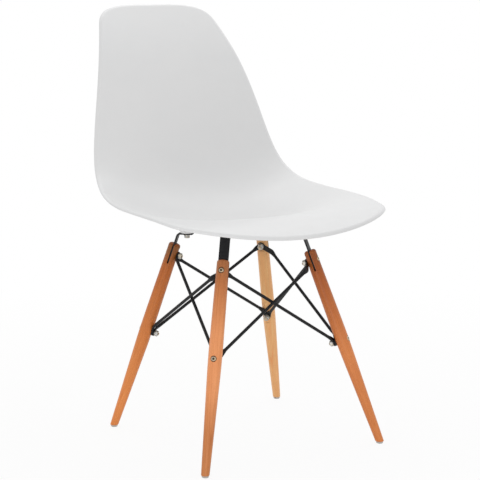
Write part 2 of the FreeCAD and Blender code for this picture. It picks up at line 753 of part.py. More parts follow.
def make_hex_bolt(name, length):
    """Hexagon-head bolt along Z with its shank above Z = 0 and its head below."""
    body = new_body(name)
    head = hexagon(body, "HeadOutline", "Sizes.nut_across", "-Sizes.hex_head_height")
    pad(body, head, "Head", "Sizes.hex_head_height")
    bevel(body, "Bevel", "-Sizes.hex_head_height", "+")
    half = "Sizes.bolt_diameter / 2"
    shank = polygon(body, "ShankOutline", "XZ_Plane", [
        ("0", "-Sizes.hex_head_height / 2"),
        (half, "-Sizes.hex_head_height / 2"),
        (half, "%s - Sizes.thread_chamfer" % length),
        ("%s - Sizes.thread_chamfer" % half, length),
        ("0", length),
    ])
    revolve(body, shank, "Shank")
    return body


def make_insert(name):
    """Threaded insert on Z = 0 with a groove round its middle."""
    body = new_body(name)
    outer = "Sizes.insert_diameter / 2"
    inner = "Sizes.bolt_diameter / 2 + Sizes.thread_clearance"
    profile = polygon(body, "Turning", "XZ_Plane", [
        (inner, "0"),
        (outer, "0"),
        (outer, "Sizes.insert_length * 0.4"),
        ("%s - Sizes.insert_groove" % outer, "Sizes.insert_length * 0.45"),
        ("%s - Sizes.insert_groove" % outer, "Sizes.insert_length * 0.55"),
        (outer, "Sizes.insert_length * 0.6"),
        (outer, "Sizes.insert_length"),
        (inner, "Sizes.insert_length"),
    ])
    revolve(body, profile, "Turned")
    return body


def make_glide(frame):
    """Round plastic foot with a sunk hole for its nail."""
    body = new_body("foot_glide_" + frame.name)
    radius = "Sizes.glide_diameter / 2"
    bore = "(Sizes.nail_diameter / 2 + Sizes.nail_fit)"
    recess = "(Sizes.nail_head_diameter / 2 + Sizes.nail_head_gap)"
    sink = "(Sizes.nail_head_sink + Sizes.nail_head_height)"
    profile = polygon(body, "Turning", "XZ_Plane", [
        (bore, sink),
        (recess, sink),
        (recess, "0"),
        ("%s - Sizes.glide_round" % radius, "0"),
        (radius, "Sizes.glide_round"),
        (radius, "Sizes.glide_height"),
        (bore, "Sizes.glide_height"),
    ])
    revolve(body, profile, "Turned")
    foot = frame.foot()
    body.Placement = Placement(Vector(foot.x, foot.y, 0), Rotation())
    return body


def make_nail(name):
    """Nail along Z with its head at Z = 0 and a point at its upper end."""
    body = new_body(name)
    half = "Sizes.nail_diameter / 2"
    top = "Sizes.glide_height + Sizes.nail_length - Sizes.nail_head_sink"
    profile = polygon(body, "Turning", "XZ_Plane", [
        ("0", "0"),
        ("Sizes.nail_head_diameter / 2", "0"),
        ("Sizes.nail_head_diameter / 2", "Sizes.nail_head_height"),
        (half, "Sizes.nail_head_height"),
        (half, "%s - Sizes.nail_diameter * 1.5" % top),
        ("0", top),
    ])
    revolve(body, profile, "Turned")
    return body


def place_group(name, pattern, placements):
    """Copies of one fastener as the separate solids of one piece."""
    copies = []
    for placement in placements:
        shape = pattern.Shape.copy()
        shape.Placement = placement
        copies.append(shape)
    return plain_piece(name, Part.makeCompound(copies))


def across_leg(frame, across, drop, facing, turn=0.0):
    """Placement on a bolt's axis, with Z outward (facing 1) or inward (facing -1)."""
    axis = frame.across * facing
    side = frame.up
    rotation = Rotation(side, axis.cross(side), axis, "ZXY").multiply(Rotation(Vector(0, 0, 1), turn))
    return Placement(frame.point(across, 0, -drop), rotation)


def under_seat(frame, height, turn=0.0):
    """Upright placement on a seat bolt's axis, at a height over the mounting face."""
    return Placement(frame.seat_bolt() + Vector(0, 0, height), Rotation(Vector(0, 0, 1), turn))


# Seat shell
seat_low = frames[-1].mount_height + size("seat_over_mount")


def shell_point(station, share, depth=0.0):
    """Point of the shell at a station of the centre line and a share of the half width.

    The sitter's side is centre line + share * half width along X + dish * share^2 along the
    centre line's normal. Other depths lie under it along its own normal.
    """
    spot, slope = centre_line.at(station)
    width, width_slope = half_width.at(station)
    height, height_slope = dish.at(station)
    run = Vector(0, slope.x, slope.y)
    pace = run.Length
    run = run / pace
    normal = Vector(0, -run.z, run.y)
    surface = Vector(share * width.x, lip_row + spot.x, seat_low + spot.y)
    surface = surface + normal * (height.x * share * share)
    if not depth:
        return surface
    across = Vector(width.x, 0, 0) + normal * (2 * height.x * share)
    # The centre line's own turning hardly tilts the surface, so its slope along the line is this
    along = run * pace + normal * (height_slope.x * share * share) + Vector(share * width_slope.x, 0, 0)
    square = across.cross(along)
    square.normalize()
    if square.dot(normal) < 0:
        square = square * -1
    return surface - square * depth


def shell_surface(depth, first, last):
    """Smooth surface through a grid of shell points between two stations, a little past the sides."""
    rows = 45
    columns = 15
    spare = 1.05
    grid = []
    for row in range(rows):
        station = first + (last - first) * row / (rows - 1)
        shares = [spare * (2 * column / (columns - 1) - 1) for column in range(columns)]
        grid.append([shell_point(station, share, depth) for share in shares])
    surface = Part.BSplineSurface()
    surface.interpolate(grid)
    return surface


def outline_points():
    """Outline of the shell in stations and shares: straight sides between rounded corners."""
    half = []
    steps = 14
    for step in range(steps + 1):
        turn = math.pi / 2 * step / steps
        length, fullness = FRONT_CORNER
        half.append((length * (1 - math.cos(turn) ** (2 / fullness)), math.sin(turn) ** (2 / fullness)))
    sides = 18
    run = 1 - FRONT_CORNER[0] - TOP_CORNER[0]
    for step in range(1, sides):
        half.append((FRONT_CORNER[0] + run * step / sides, 1.0))
    for step in range(steps, -1, -1):
        turn = math.pi / 2 * step / steps
        length, fullness = TOP_CORNER
        station = 1 - length * (1 - math.cos(turn) ** (2 / fullness))
        half.append((station, math.sin(turn) ** (2 / fullness)))
    return half + [(station, -share) for station, share in reversed(half[1:-1])]


def trimmed_skin(depth):
    """One side of the shell, cut along the outline."""
    spare = 0.012
    surface = shell_surface(depth, -spare, 1 + spare)
    outline = [shell_point(station, share, depth) for station, share in outline_points()]
    places = [surface.parameter(spot) for spot in outline]
    curve = Part.Geom2d.BSplineCurve2d()
    curve.interpolate(Points=[FreeCAD.Base.Vector2d(*place) for place in places], PeriodicFlag=True)
    return Part.Face(surface, Part.Wire([curve.toShape(surface)]))


def boss_solids(frame, over):
    """Mounting boss with four ribs, up to the middle of the shell's wall."""
    base = frame.seat_bolt()
    radius = size("boss_diameter") / 2
    tall = 60.0
    boss = Part.makeCylinder(radius, tall, base)
    reach = size("boss_rib_reach")
    wall = size("boss_rib_wall")
    step = size("boss_rib_step")
    climb = size("boss_rib_run")
    solids = [boss]
    for quarter in range(4):
        corners = [
            Vector(0, -wall / 2, step),
            Vector(radius, -wall / 2, step),
            Vector(reach, -wall / 2, step + climb),
            Vector(reach, -wall / 2, tall),
            Vector(0, -wall / 2, tall),
        ]
        rib = Part.Face(Part.makePolygon(corners + corners[:1])).extrude(Vector(0, wall, 0))
        rib.rotate(Vector(0, 0, 0), Vector(0, 0, 1), 45 + 90 * quarter)
        rib.translate(base)
        solids.append(rib)
    return solids[0].multiFuse(solids[1:]).cut(over)


def make_shell():
    """Seat and back in one wall, with its bosses and their blind holes."""
    upper = trimmed_skin(0.0)
    under = trimmed_skin(size("shell_wall"))
    rim = Part.makeRuledSurface(upper.Edges[0], under.Edges[0])
    skins = Part.Shell([upper, under, rim])
    skins.sewShape(0.01)
    shell = Part.Solid(Part.Shell(skins.Faces))
    if shell.Volume < 0:
        shell.reverse()
    middle = shell_surface(size("shell_wall") / 2, 0.05, 0.55).toShape()
    over = middle.extrude(Vector(0, 0, 200))
    shape = shell.multiFuse([boss_solids(frame, over) for frame in frames])
    for frame in frames:
        depth = size("insert_length") + size("insert_gap")
        shape = shape.cut(Part.makeCylinder(size("insert_diameter") / 2, depth, frame.seat_bolt()))
    return plain_piece("seat_shell", shape)


# The whole chair
pieces = [make_shell()]
for frame in frames:
    pieces.append(make_leg(frame))
    pieces.append(make_bracket(frame))
    pieces.append(make_glide(frame))
for number in range(len(frames)):
    brace, lines = make_brace(number)
    pieces.append(brace)

layers = {"upper": 1, "lower": 2}
for level, count in layers.items():
    drop = size(level + "_bolt_drop")
    stack = "%d * Sizes.blade_wall" % count
    grip = ("%s - Sizes.head_sink + %s - Sizes.seat_face_depth + %s + Sizes.washer_wall"
            " + Sizes.nut_height + Sizes.bolt_end_show" % (RADIUS_AT[level], RADIUS_AT[level], stack))
    bolt = make_button_bolt(level + "_bolt_pattern", grip)
    nut = make_nut(level + "_nut_pattern")
    washer = make_ring(level + "_washer_pattern", "Sizes.washer_diameter",
                       "Sizes.bolt_diameter + 2 * Sizes.bolt_clearance", "Sizes.washer_wall")
    outer = head_face(drop)
    inner = -(bolt_face(drop) + count * size("blade_wall"))
    pieces.append(place_group(level + "_leg_bolts", bolt, [
        across_leg(frame, outer, drop, 1, 17.0 * index) for index, frame in enumerate(frames)]))
    pieces.append(place_group(level + "_leg_washers", washer, [
        across_leg(frame, inner, drop, -1) for frame in frames]))
    pieces.append(place_group(level + "_leg_nuts", nut, [
        across_leg(frame, inner - size("washer_wall"), drop, -1, 11.0 + 23.0 * index)
        for index, frame in enumerate(frames)]))

under = -size("strip_wall")
flat_washer = make_ring("seat_flat_washer_pattern", "Sizes.washer_diameter",
                        "Sizes.bolt_diameter + 2 * Sizes.bolt_clearance", "Sizes.washer_wall")
pieces.append(place_group("seat_flat_washers", flat_washer, [
    under_seat(frame, under - size("washer_wall")) for frame in frames]))
spring_washer = make_spring_washer("seat_spring_washer_pattern")
spring_height = under - size("washer_wall") - size("spring_washer_wall")
pieces.append(place_group("seat_spring_washers", spring_washer, [
    under_seat(frame, spring_height, 40.0 * index) for index, frame in enumerate(frames)]))
seat_bolt_length = ("Sizes.strip_wall + Sizes.washer_wall + Sizes.spring_washer_wall"
                    " + Sizes.insert_length - Sizes.bolt_tip_gap")
seat_bolt = make_hex_bolt("seat_bolt_pattern", seat_bolt_length)
pieces.append(place_group("seat_bolts", seat_bolt, [
    under_seat(frame, spring_height, 13.0 * index) for index, frame in enumerate(frames)]))
insert = make_insert("seat_insert_pattern")
pieces.append(place_group("seat_inserts", insert, [under_seat(frame, 0.0) for frame in frames]))
nail = make_nail("glide_nail_pattern")
pieces.append(place_group("glide_nails", nail, [
    Placement(Vector(frame.foot().x, frame.foot().y, size("nail_head_sink")), Rotation()) for frame in frames]))

doc.recompute()
for thing in doc.Objects:
    if "Invalid" in thing.State or "Error" in thing.State:
        raise ValueError("%s is %s" % (thing.Label, thing.State))
for piece in pieces:
    if piece.Shape.isNull() or not piece.Shape.isValid():
        raise ValueError("%s has no valid shape" % piece.Label)

os.makedirs("parts", exist_ok=True)
for piece in pieces:
    piece.Shape.exportStep("parts/%s.step" % piece.Label)
    print("%-26s solids %d volume %9.1f" % (piece.Label, len(piece.Shape.Solids), piece.Shape.Volume))
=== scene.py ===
"""Moulded plastic shell chair: the looks of every piece, built round its construction model.

Metres, +Z up, the floor at Z = 0. The sitter faces -Y and has +X on the left hand.
Shapes are worked out with numpy in millimetres and turned into metres when a mesh is made.
"""
import math

import bpy
import numpy as np
from bpy.props import FloatProperty, FloatVectorProperty, PointerProperty
from mathutils import Matrix, Vector


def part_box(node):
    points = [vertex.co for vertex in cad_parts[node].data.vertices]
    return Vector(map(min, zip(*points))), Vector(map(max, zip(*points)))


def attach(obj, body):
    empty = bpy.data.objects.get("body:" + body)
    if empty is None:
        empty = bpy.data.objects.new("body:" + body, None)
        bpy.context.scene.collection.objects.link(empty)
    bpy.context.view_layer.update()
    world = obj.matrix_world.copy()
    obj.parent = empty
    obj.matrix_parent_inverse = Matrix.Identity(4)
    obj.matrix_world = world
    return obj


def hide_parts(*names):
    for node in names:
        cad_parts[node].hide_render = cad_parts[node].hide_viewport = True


bl_info = {
    "name": "Moulded shell chair",
    "version": (1, 0, 0),
    "blender": (4, 5, 0),
    "location": "View3D > Sidebar > Shell chair",
    "description": "Builds a moulded plastic shell chair on turned wooden legs with crossed wire braces",
    "category": "Add Mesh",
}

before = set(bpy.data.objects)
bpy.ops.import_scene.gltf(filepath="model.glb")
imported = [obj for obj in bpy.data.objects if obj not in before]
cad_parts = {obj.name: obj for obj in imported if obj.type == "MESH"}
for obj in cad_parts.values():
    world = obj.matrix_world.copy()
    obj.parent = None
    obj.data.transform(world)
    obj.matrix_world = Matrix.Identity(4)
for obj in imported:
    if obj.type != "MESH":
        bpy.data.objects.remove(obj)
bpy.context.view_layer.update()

MM = 0.001
CORNERS = ("front_right", "front_left", "rear_left", "rear_right")

# Centre line of the shell from the front lip to the top of the back: station, share of the
# reach, share of the rise
CENTRE_LINE = (
    (0.00, 0.000, 0.057), (0.06, 0.080, 0.098), (0.18, 0.249, 0.086), (0.34, 0.467, 0.000),
    (0.48, 0.660, 0.067), (0.58, 0.756, 0.212), (0.68, 0.805, 0.405), (0.84, 0.877, 0.726),
    (1.00, 1.000, 1.000),
)
# Station and share of the greatest half width
HALF_WIDTH = (
    (0.00, 0.854), (0.15, 0.983), (0.33, 1.000), (0.50, 0.933), (0.66, 0.829), (0.83, 0.675),
    (1.00, 0.490),
)
# Station and share of the greatest height of the sides over the centre line
DISH = (
    (0.00, 0.14), (0.12, 0.14), (0.28, 0.93), (0.45, 1.00), (0.60, 0.50), (0.75, 0.33), (1.00, 0.12),
)
# Length along the centre line and fullness of the outline's rounded ends
FRONT_END = (0.116, 2.1)
TOP_END = (0.064, 3.2)

# Sizes in millimetres and angles in degrees, as in the construction model
# Shell: reach and rise of the centre line, greatest width, greatest height of the sides over the centre
# line, and the seat's lowest place over the mounting faces
REACH, RISE, WIDTH, DEPTH = 591.0, 420.0, 480.0, 58.0
SEAT_OVER_MOUNT = 7.0
# Grid of the shell across and along the seat, and points of the rim's roll and of its edge
GRID_ACROSS, GRID_ALONG = 111, 201
ROLL_POINTS, EDGE_POINTS = 10, 13
# Bosses: points round one, rounding of the face, start of the wall, and fillet to the shell
BOSS_AROUND, BOSS_FACE_ROUND, BOSS_WALL_START, BOSS_BLEND = 96, 0.8, 1.6, 3.0
# Hole in a boss: width and length of its insert, gap beyond the insert, and bevel of the mouth
INSERT_WIDTH, INSERT_LENGTH, INSERT_GAP, HOLE_BEVEL = 8.6, 9.0, 0.5, 0.5
# Ribs: boss axis to the end, lower edge over the mounting face at the boss, how much that edge climbs, and
# half the wall above and at the edge
RIB_REACH, RIB_STEP, RIB_RUN = 27.0, 2.5, 8.0
RIB_HALF_WALL, RIB_HALF_EDGE = 1.7, 1.35

# Legs: length, and width at the top, at the thickest place and at the foot
LEG_LENGTH, LEG_TOP, LEG_BELLY, LEG_FOOT = 391.0, 23.0, 26.2, 15.4
# Rounding of the top, half the length of the soft turn between the tapers, and the length over which the
# rings tilt until the foot is level
LEG_TOP_ROUND, BELLY_BLEND, FOOT_TILT = 4.5, 35.0, 60.0
# Lean from upright, the way it leans from the chair's middle plane, and the bracket's rise over the top
SPLAY = {"front": 21.0, "rear": 19.0}
TURN = {"front": 44.5, "rear": 47.0}
STRIP_RISE = {"front": 46.0, "rear": 23.0}
# Glides: height, width, bore for the nail, and width and height of the seat for its head
GLIDE_HEIGHT, GLIDE_WIDTH = 4.0, 13.0
NAIL_BORE, NAIL_SEAT, NAIL_SEAT_HEIGHT = 2.1, 5.6, 2.2
# Leg's top to its bolts, and the milled flats: depth, and reach beside each bolt
UPPER_DROP, LOWER_DROP = 20.0, 183.0
FLAT_DEPTH = 1.2
FLAT_REACH = {"upper": 13.0, "lower": 18.0}

# Brackets: slot, wall, width, inner radius of the bend, rounded corners, gap under the lower end, flange's
# length, and corner of the flange to its bolt
SLOT_DEPTH, SLOT_CLEARANCE = 40.0, 0.15
STRIP_WALL, STRIP_WIDTH, STRIP_BEND, STRIP_CORNER, STRIP_END_GAP = 3.0, 19.0, 4.0, 3.0, 2.0
FLANGE_LENGTH, FLANGE_BOLT = 28.0, 16.0

# Braces: flat ends, their eyes and the round wire
BLADE_WALL, BLADE_WIDTH, EYE_RADIUS, WIRE = 3.2, 10.0, 7.0, 6.0
# Bolt to bend of the arm that passes inside, and of the one that passes outside, at its upper and its
# lower bolt
INNER_TAB, OUTER_TAB, OUTER_LOWER_TAB = 8.5, 25.0, 16.0
# Radius of a bend, length over which a flat end turns into wire, and how far before the bend that starts
ARM_BEND, FLARE, FLARE_LEAD = 9.0, 14.0, 2.0
# Length over which an end turns from the leg's flat to the wire's direction, and its start before the bend
TWIST, TWIST_LEAD = 8.0, 4.0
FLAT_FULLNESS, ROUND_FULLNESS = 9.0, 2.0
# Length of an arm's end that has a ring at every millimetre, and rings between the two ends
ARM_END, ARM_RINGS = 58.0, 24

# Bolts: width, hole, length of the thread, its pitch, depth, rings in a turn, points round it, and its
# crest inside the bolt's width
BOLT, BOLT_HOLE = 6.0, 6.5
THREADED, PITCH, THREAD_DEPTH, RINGS_PER_TURN, THREAD_AROUND, CREST_GAP = 11.0, 1.0, 0.5, 10, 48, 0.02
# Button head: width, height, how deep it sinks in the leg, gap round it, and half its socket across flats
HEAD_WIDTH, HEAD_HEIGHT, HEAD_SINK, HEAD_CLEARANCE, SOCKET = 10.5, 3.3, 3.3, 0.5, 2.0
# Nuts, hexagon heads and washers, and the bolt's end past its nut or short of its insert's end
NUT_ACROSS, NUT_HEIGHT, HEX_HEAD = 10.0, 5.0, 4.0
WASHER_WIDTH, WASHER_WALL, BOLT_END, BOLT_TIP_GAP = 12.0, 1.6, 2.0, 0.5
# Where a hexagon's bevel starts, as a share of its half size across flats
HEX_BEVEL = 0.96
# Spring washer: wall, width of its middle line, width of its section, and climb from end to end
SPRING_WALL, SPRING_MIDDLE, SPRING_SECTION, SPRING_CLIMB = 1.5, 8.7, 2.2, 0.06
# How far cutting tools reach: past all sides of a leg, and past a leg's top or a bracket's wall
FAR, HOLE_REACH = 30.0, 20.0

# Each leg's tint, which is its wood's own tone and on the rear left leg also painted light, how strong the
# staining and painted shade of its upper part are and how far down they reach in metres, how far painted
# shade and end-grain staining darken its top, and how dark its foot is
STICKS = {
    "front_right": ((1.02, 1.09, 1.40), 0.80, 0.14, 0.40, 0.71),
    "front_left": ((0.89, 0.80, 0.76), 1.0, 0.21, 0.40, 0.95),
    # The rear left leg's paler tint also paints in the brighter light that this leg gets
    "rear_left": ((1.3, 1.62, 2.3), 0.20, 0.20, 0.30, 1.0),
    "rear_right": ((1.0, 0.94, 0.84), 0.95, 0.32, 0.85, 1.0),
}

# Lamps in metres: name, which setting holds the power, place, what it looks at, and side
LAMPS = (
    ("lamp_beside", "key", (0.996, 0.575, 2.442), (0.0, 0.0, 0.45), 1.8),
    ("lamp_behind", "fill", (0.188, 1.063, 2.481), (0.0, 0.0, 0.45), 1.8),
    ("lamp_front", "front", (-0.85, -1.05, 0.12), (0.0, -0.07, 0.15), 0.5),
)
# Half the floor's side in millimetres and its grey. Between two distances in metres, its share of white
# goes from the one given here to 1
FLOOR_HALF, FLOOR_GREY = 9000.0, 0.82
FLOOR_NEAR, FLOOR_FAR, FLOOR_WHITE = 0.45, 1.4, 0.92
# Camera's sensor in millimetres
SENSOR = 36.0


# Settings a user may change
class ShellSettings(bpy.types.PropertyGroup):
    wall: FloatProperty(name="Wall", description="Thickness of the moulded shell, in millimetres",
                        default=5.0, min=3.0, max=7.0)
    roll: FloatProperty(name="Rim roll", description="Radius of the rolled rim, in millimetres",
                        default=8.0, min=6.0, max=14.0)
    roll_turn: FloatProperty(name="Rim turn", description="How far the rim turns over",
                             default=math.radians(52), subtype="ANGLE")
    boss: FloatProperty(name="Boss", description="Diameter of a mounting boss, in millimetres",
                        default=26.0, min=20.0, max=32.0)
    colour: FloatVectorProperty(name="Colour", description="Moulded plastic", subtype="COLOR",
                                size=3, default=(0.80, 0.80, 0.80), min=0, max=1)
    roughness: FloatProperty(name="Roughness", description="Sheen of the plastic, from gloss to matt",
                             default=0.38, min=0, max=1, subtype="FACTOR")


class WoodSettings(bpy.types.PropertyGroup):
    pale: FloatVectorProperty(name="Pale wood", description="Early wood between the rings", subtype="COLOR",
                              size=3, default=(0.97, 0.36, 0.11), min=0, max=1)
    dark: FloatVectorProperty(name="Dark wood", description="Late wood of the rings", subtype="COLOR",
                              size=3, default=(0.74, 0.225, 0.052), min=0, max=1)
    ring: FloatProperty(name="Ring spacing", description="Growth rings, in millimetres",
                        default=2.6, min=1.0, max=6.0)


class SteelSettings(bpy.types.PropertyGroup):
    coat: FloatVectorProperty(name="Powder coat", description="Coat of wires and brackets", subtype="COLOR",
                              size=3, default=(0.006, 0.006, 0.007), min=0, max=1)
    plating: FloatVectorProperty(name="Plating", description="Plating of bolts, nuts and washers",
                                 subtype="COLOR", size=3, default=(0.44, 0.425, 0.40), min=0, max=1)


class GlideSettings(bpy.types.PropertyGroup):
    colour: FloatVectorProperty(name="Glide", description="Moulded plastic of the foot glides",
                                subtype="COLOR", size=3, default=(0.56, 0.54, 0.51), min=0, max=1)


class StageSettings(bpy.types.PropertyGroup):
    azimuth: FloatProperty(name="Azimuth", description="Camera round the chair", subtype="ANGLE",
                           default=math.radians(-31.4635))
    elevation: FloatProperty(name="Elevation", description="Camera over the horizon", subtype="ANGLE",
                             default=math.radians(10.2573))
    distance: FloatProperty(name="Distance", description="Camera to what it looks at", unit="LENGTH",
                            default=2.96417)
    target: FloatVectorProperty(name="Target", description="What the camera looks at", unit="LENGTH",
                                size=3, default=(-0.00682, -0.07134, 0.38533))
    lens: FloatProperty(name="Lens", description="Focal length, in millimetres on a 36 mm sensor",
                        default=116.592)
    key: FloatProperty(name="Side lamp", description="Large soft lamp high on the sitter's left",
                       unit="POWER", default=8.6)
    fill: FloatProperty(name="Rear lamp", description="Large soft lamp high behind the chair",
                        unit="POWER", default=7.0)
    front: FloatProperty(name="Front lamp", description="Small soft lamp near the floor in front",
                         unit="POWER", default=2.4)
    sky: FloatProperty(name="Surrounding light", description="Light from all round", default=0.775)


# Curves
def natural_spline(rows):
    """Natural cubic spline through rows of a station and its amounts.

    The second derivatives come from one linear solve and are zero at both ends. The answer is a
    function that gives amounts and slopes at an array of stations, straight on past the ends.
    """
    table = np.array(rows, float)
    knots, amounts = table[:, 0], table[:, 1:]
    gaps = np.diff(knots)
    count = len(knots)
    system = np.eye(count)
    right = np.zeros_like(amounts)
    for row in range(1, count - 1):
        before, after = gaps[row - 1], gaps[row]
        system[row, row - 1:row + 2] = before / 6, (before + after) / 3, after / 6
        right[row] = (amounts[row + 1] - amounts[row]) / after - (amounts[row] - amounts[row - 1]) / before
    bends = np.linalg.solve(system, right)

    def at(station):
        station = np.asarray(station, float)
        inside = np.clip(station, knots[0], knots[-1])
        left = np.clip(np.searchsorted(knots, inside, side="right") - 1, 0, count - 2)
        gap = gaps[left][..., None]
        late = (inside - knots[left])[..., None] / gap
        early = 1 - late
        start, end = amounts[left], amounts[left + 1]
        bend, next_bend = bends[left], bends[left + 1]
        value = early * start + late * end
        value = value + ((early ** 3 - early) * bend + (late ** 3 - late) * next_bend) * gap ** 2 / 6
        slope = (end - start) / gap
        slope = slope + ((3 * late ** 2 - 1) * next_bend - (3 * early ** 2 - 1) * bend) * gap / 6
        return value + slope * (station - inside)[..., None], slope

    return at


def unit(vectors):
    """Vectors of length one."""
    return vectors / np.linalg.norm(vectors, axis=-1, keepdims=True)


def smooth(share):
    """0 to 1 with level ends: 3 s^2 - 2 s^3."""
    share = np.clip(share, 0, 1)
    return share * share * (3 - 2 * share)


def lengths_along(line):
    """Length from the start of a line of points to each of them: the sum of the steps before it."""
    return np.concatenate([[0], np.cumsum(np.linalg.norm(np.diff(line, axis=0), axis=1))])


def at_lengths(line, lengths, wanted):
    """Straight between the points of a line, whose lengths are given, at the wanted lengths."""
    return np.stack([np.interp(wanted, lengths, column) for column in line.T], -1)


def circle(around):
    """Angles of evenly spaced points round a circle."""
    return np.linspace(0, 2 * math.pi, around, endpoint=False)


def eased(corners, steps=6):
    """An open line whose corners are rounded.

    Each corner is a point with a radius. Its arc is a quadratic curve with the middle weight
    that makes it an exact circle, and it reaches radius / tan(half the angle) along both sides.
    """
    straight = math.pi / 2 - 1e-4
    spots = [np.array(corner[:-1], float) for corner in corners]
    line = [spots[0]]
    share = np.linspace(0, 1, steps + 1)[:, None]
    for index in range(1, len(corners) - 1):
        here = spots[index]
        back = unit(spots[index - 1] - here)
        ahead = unit(spots[index + 1] - here)
        half = 0.5 * math.acos(max(-1.0, min(1.0, float(back @ ahead))))
        radius = corners[index][-1]
        if radius <= 0 or half > straight:
            line.append(here)
            continue
        cut = radius / math.tan(half)
        weight = math.sin(half)
        start, end = here + back * cut, here + ahead * cut
        top = (1 - share) ** 2 * start + 2 * share * (1 - share) * weight * here + share ** 2 * end
        line.extend(top / ((1 - share) ** 2 + 2 * share * (1 - share) * weight + share ** 2))
    line.append(spots[-1])
    return np.array(line)


# Surfaces: a pair of points and a list of face arrays
def lattice(rows, columns, wrap_rows=False, wrap_columns=False):
    """Four-sided faces of a grid of points numbered row by row. A wrapped way joins its end to its start."""
    row, column = np.meshgrid(np.arange(rows if wrap_rows else rows - 1),
                              np.arange(columns if wrap_columns else columns - 1), indexing="ij")
    next_row, next_column = (row + 1) % rows, (column + 1) % columns
    faces = np.stack([row * columns + column, next_row * columns + column,
                      next_row * columns + next_column, row * columns + next_column], -1)
    return faces.reshape(-1, 4)


def tube(rings, closed=False):
    """A surface over rings of points. Its ends are closed by a point in the middle of the end rings,
    or, where closed is true, the last ring joins the first."""
    count, around = rings.shape[:2]
    points = rings.reshape(-1, 3)
    faces = [lattice(count, around, closed, True)]
    if not closed:
        points = np.concatenate([points, rings[[0, -1]].mean(1)])
        here = np.arange(around)
        after = np.roll(here, -1)
        last = (count - 1) * around
        pole = np.full(around, count * around)
        faces.append(np.stack([pole, here, after], -1))
        faces.append(np.stack([pole + 1, last + after, last + here], -1))
    return points, faces


def rings_about_z(radius, angle, height):
    """Points about Z: radius * cos, radius * sin and height, each spread over the others."""
    return np.stack(np.broadcast_arrays(radius * np.cos(angle), radius * np.sin(angle), height), -1)


def turned(profile, around, closed=False):
    """A shape turned about Z. The profile holds radius and height."""
    return tube(rings_about_z(profile[:, 0, None], circle(around), profile[:, 1, None]), closed)


def oval_rings(path, side, thick, width, depth, fullness, around):
    """Rings along a path. Each is |a / half width|^n + |b / half depth|^n = 1 in its side and thick
    directions, n being its fullness."""
    angle = circle(around) + math.pi / around
    power = 2 / np.asarray(fullness, float)[:, None]
    across = np.sign(np.cos(angle)) * np.abs(np.cos(angle)) ** power * (width / 2)[:, None]
    along = np.sign(np.sin(angle)) * np.abs(np.sin(angle)) ** power * (depth / 2)[:, None]
    return path[:, None] + side[:, None] * across[..., None] + thick[:, None] * along[..., None]


def block(low, high):
    """A box between two corners."""
    low, high = np.array(low, float), np.array(high, float)
    pick = np.array([[0, 0, 0], [1, 0, 0], [1, 1, 0], [0, 1, 0], [0, 0, 1], [1, 0, 1], [1, 1, 1], [0, 1, 1]])
    faces = np.array([[0, 3, 2, 1], [4, 5, 6, 7], [0, 1, 5, 4], [1, 2, 6, 5], [2, 3, 7, 6], [3, 0, 4, 7]])
    return low + pick * (high - low), [faces]


def drill(radius, start, end, shift=(0, 0, 0)):
    """An upright round bar between two heights, moved by a shift."""
    points, faces = turned(np.array([[radius, start], [radius, end]]), 48)
    return points + np.array(shift, float), faces


def rod(radius, start, end, drop):
    """A round bar along X between two distances, at a drop below X."""
    points, faces = drill(radius, start, end)
    return points[:, [2, 0, 1]] + [0, 0, -drop], faces


def moved(surface, axes, origin):
    """A surface carried from its own directions to the chair's: rows of axes are its X, Y and Z."""
    points, faces = surface
    return points @ np.array(axes, float) + np.array(origin, float), faces


def gathered(surfaces):
    """Several surfaces as one."""
    points, faces, first = [], [], 0
    for spots, patches in surfaces:
        points.append(spots)
        faces.extend(patch + first for patch in patches)
        first += len(spots)
    return np.concatenate(points), faces


def outward(surface):
    """The same surface with its faces outwards: the sum of the solid angles' volumes is made positive."""
    points, faces = surface
    volume = 0.0
    for patch in faces:
        for step in range(1, patch.shape[1] - 1):
            first, second, third = (points[patch[:, corner]] for corner in (0, step, step + 1))
            volume += np.einsum("ij,ij->", first, np.cross(second, third))
    return (points, faces) if volume > 0 else (points, [patch[:, ::-1] for patch in faces])


def mesh_of(name, surface):
    """A mesh in metres from a surface in millimetres."""
    points, faces = surface
    mesh = bpy.data.meshes.new(name)
    mesh.vertices.add(len(points))
    mesh.vertices.foreach_set("co", (points * MM).astype(np.float32).ravel())
    corners = np.concatenate([patch.ravel() for patch in faces]).astype(np.int32)
    sizes = np.concatenate([np.full(len(patch), patch.shape[1]) for patch in faces])
    mesh.loops.add(len(corners))
    mesh.loops.foreach_set("vertex_index", corners)
    mesh.polygons.add(len(sizes))
    mesh.polygons.foreach_set("loop_start", np.concatenate([[0], np.cumsum(sizes)[:-1]]).astype(np.int32))
    mesh.update(calc_edges=True)
    if mesh.validate():
        raise RuntimeError("the mesh of %s has bad faces" % name)
    return mesh


def object_of(name, surface):
    """A new object in the scene for a surface."""
    thing = bpy.data.objects.new(name, mesh_of(name, surface))
    bpy.context.scene.collection.objects.link(thing)
    return thing


def carve(name, surface, steps):
    """Join or cut closed surfaces, one after another. Each step is a kind and a surface, or an object
    made from surfaces before."""
    thing = object_of(name, outward(surface))
    for kind, tool in steps:
        if not isinstance(tool, bpy.types.Object):
            tool = object_of(name + "_tool", outward(tool))
        change = thing.modifiers.new(kind, "BOOLEAN")
        change.operation = kind
        change.solver = "MANIFOLD"
        change.object = tool
        bpy.context.view_layer.update()
        evaluated = thing.evaluated_get(bpy.context.evaluated_depsgraph_get())
        result = bpy.data.meshes.new_from_object(evaluated)
        thing.modifiers.clear()
        old = thing.data
        thing.data = result
        bpy.data.meshes.remove(old)
        bpy.data.objects.remove(tool)
    if not thing.data.polygons:
        raise RuntimeError("nothing is left of %s" % name)
    thing.data.name = name
    return thing


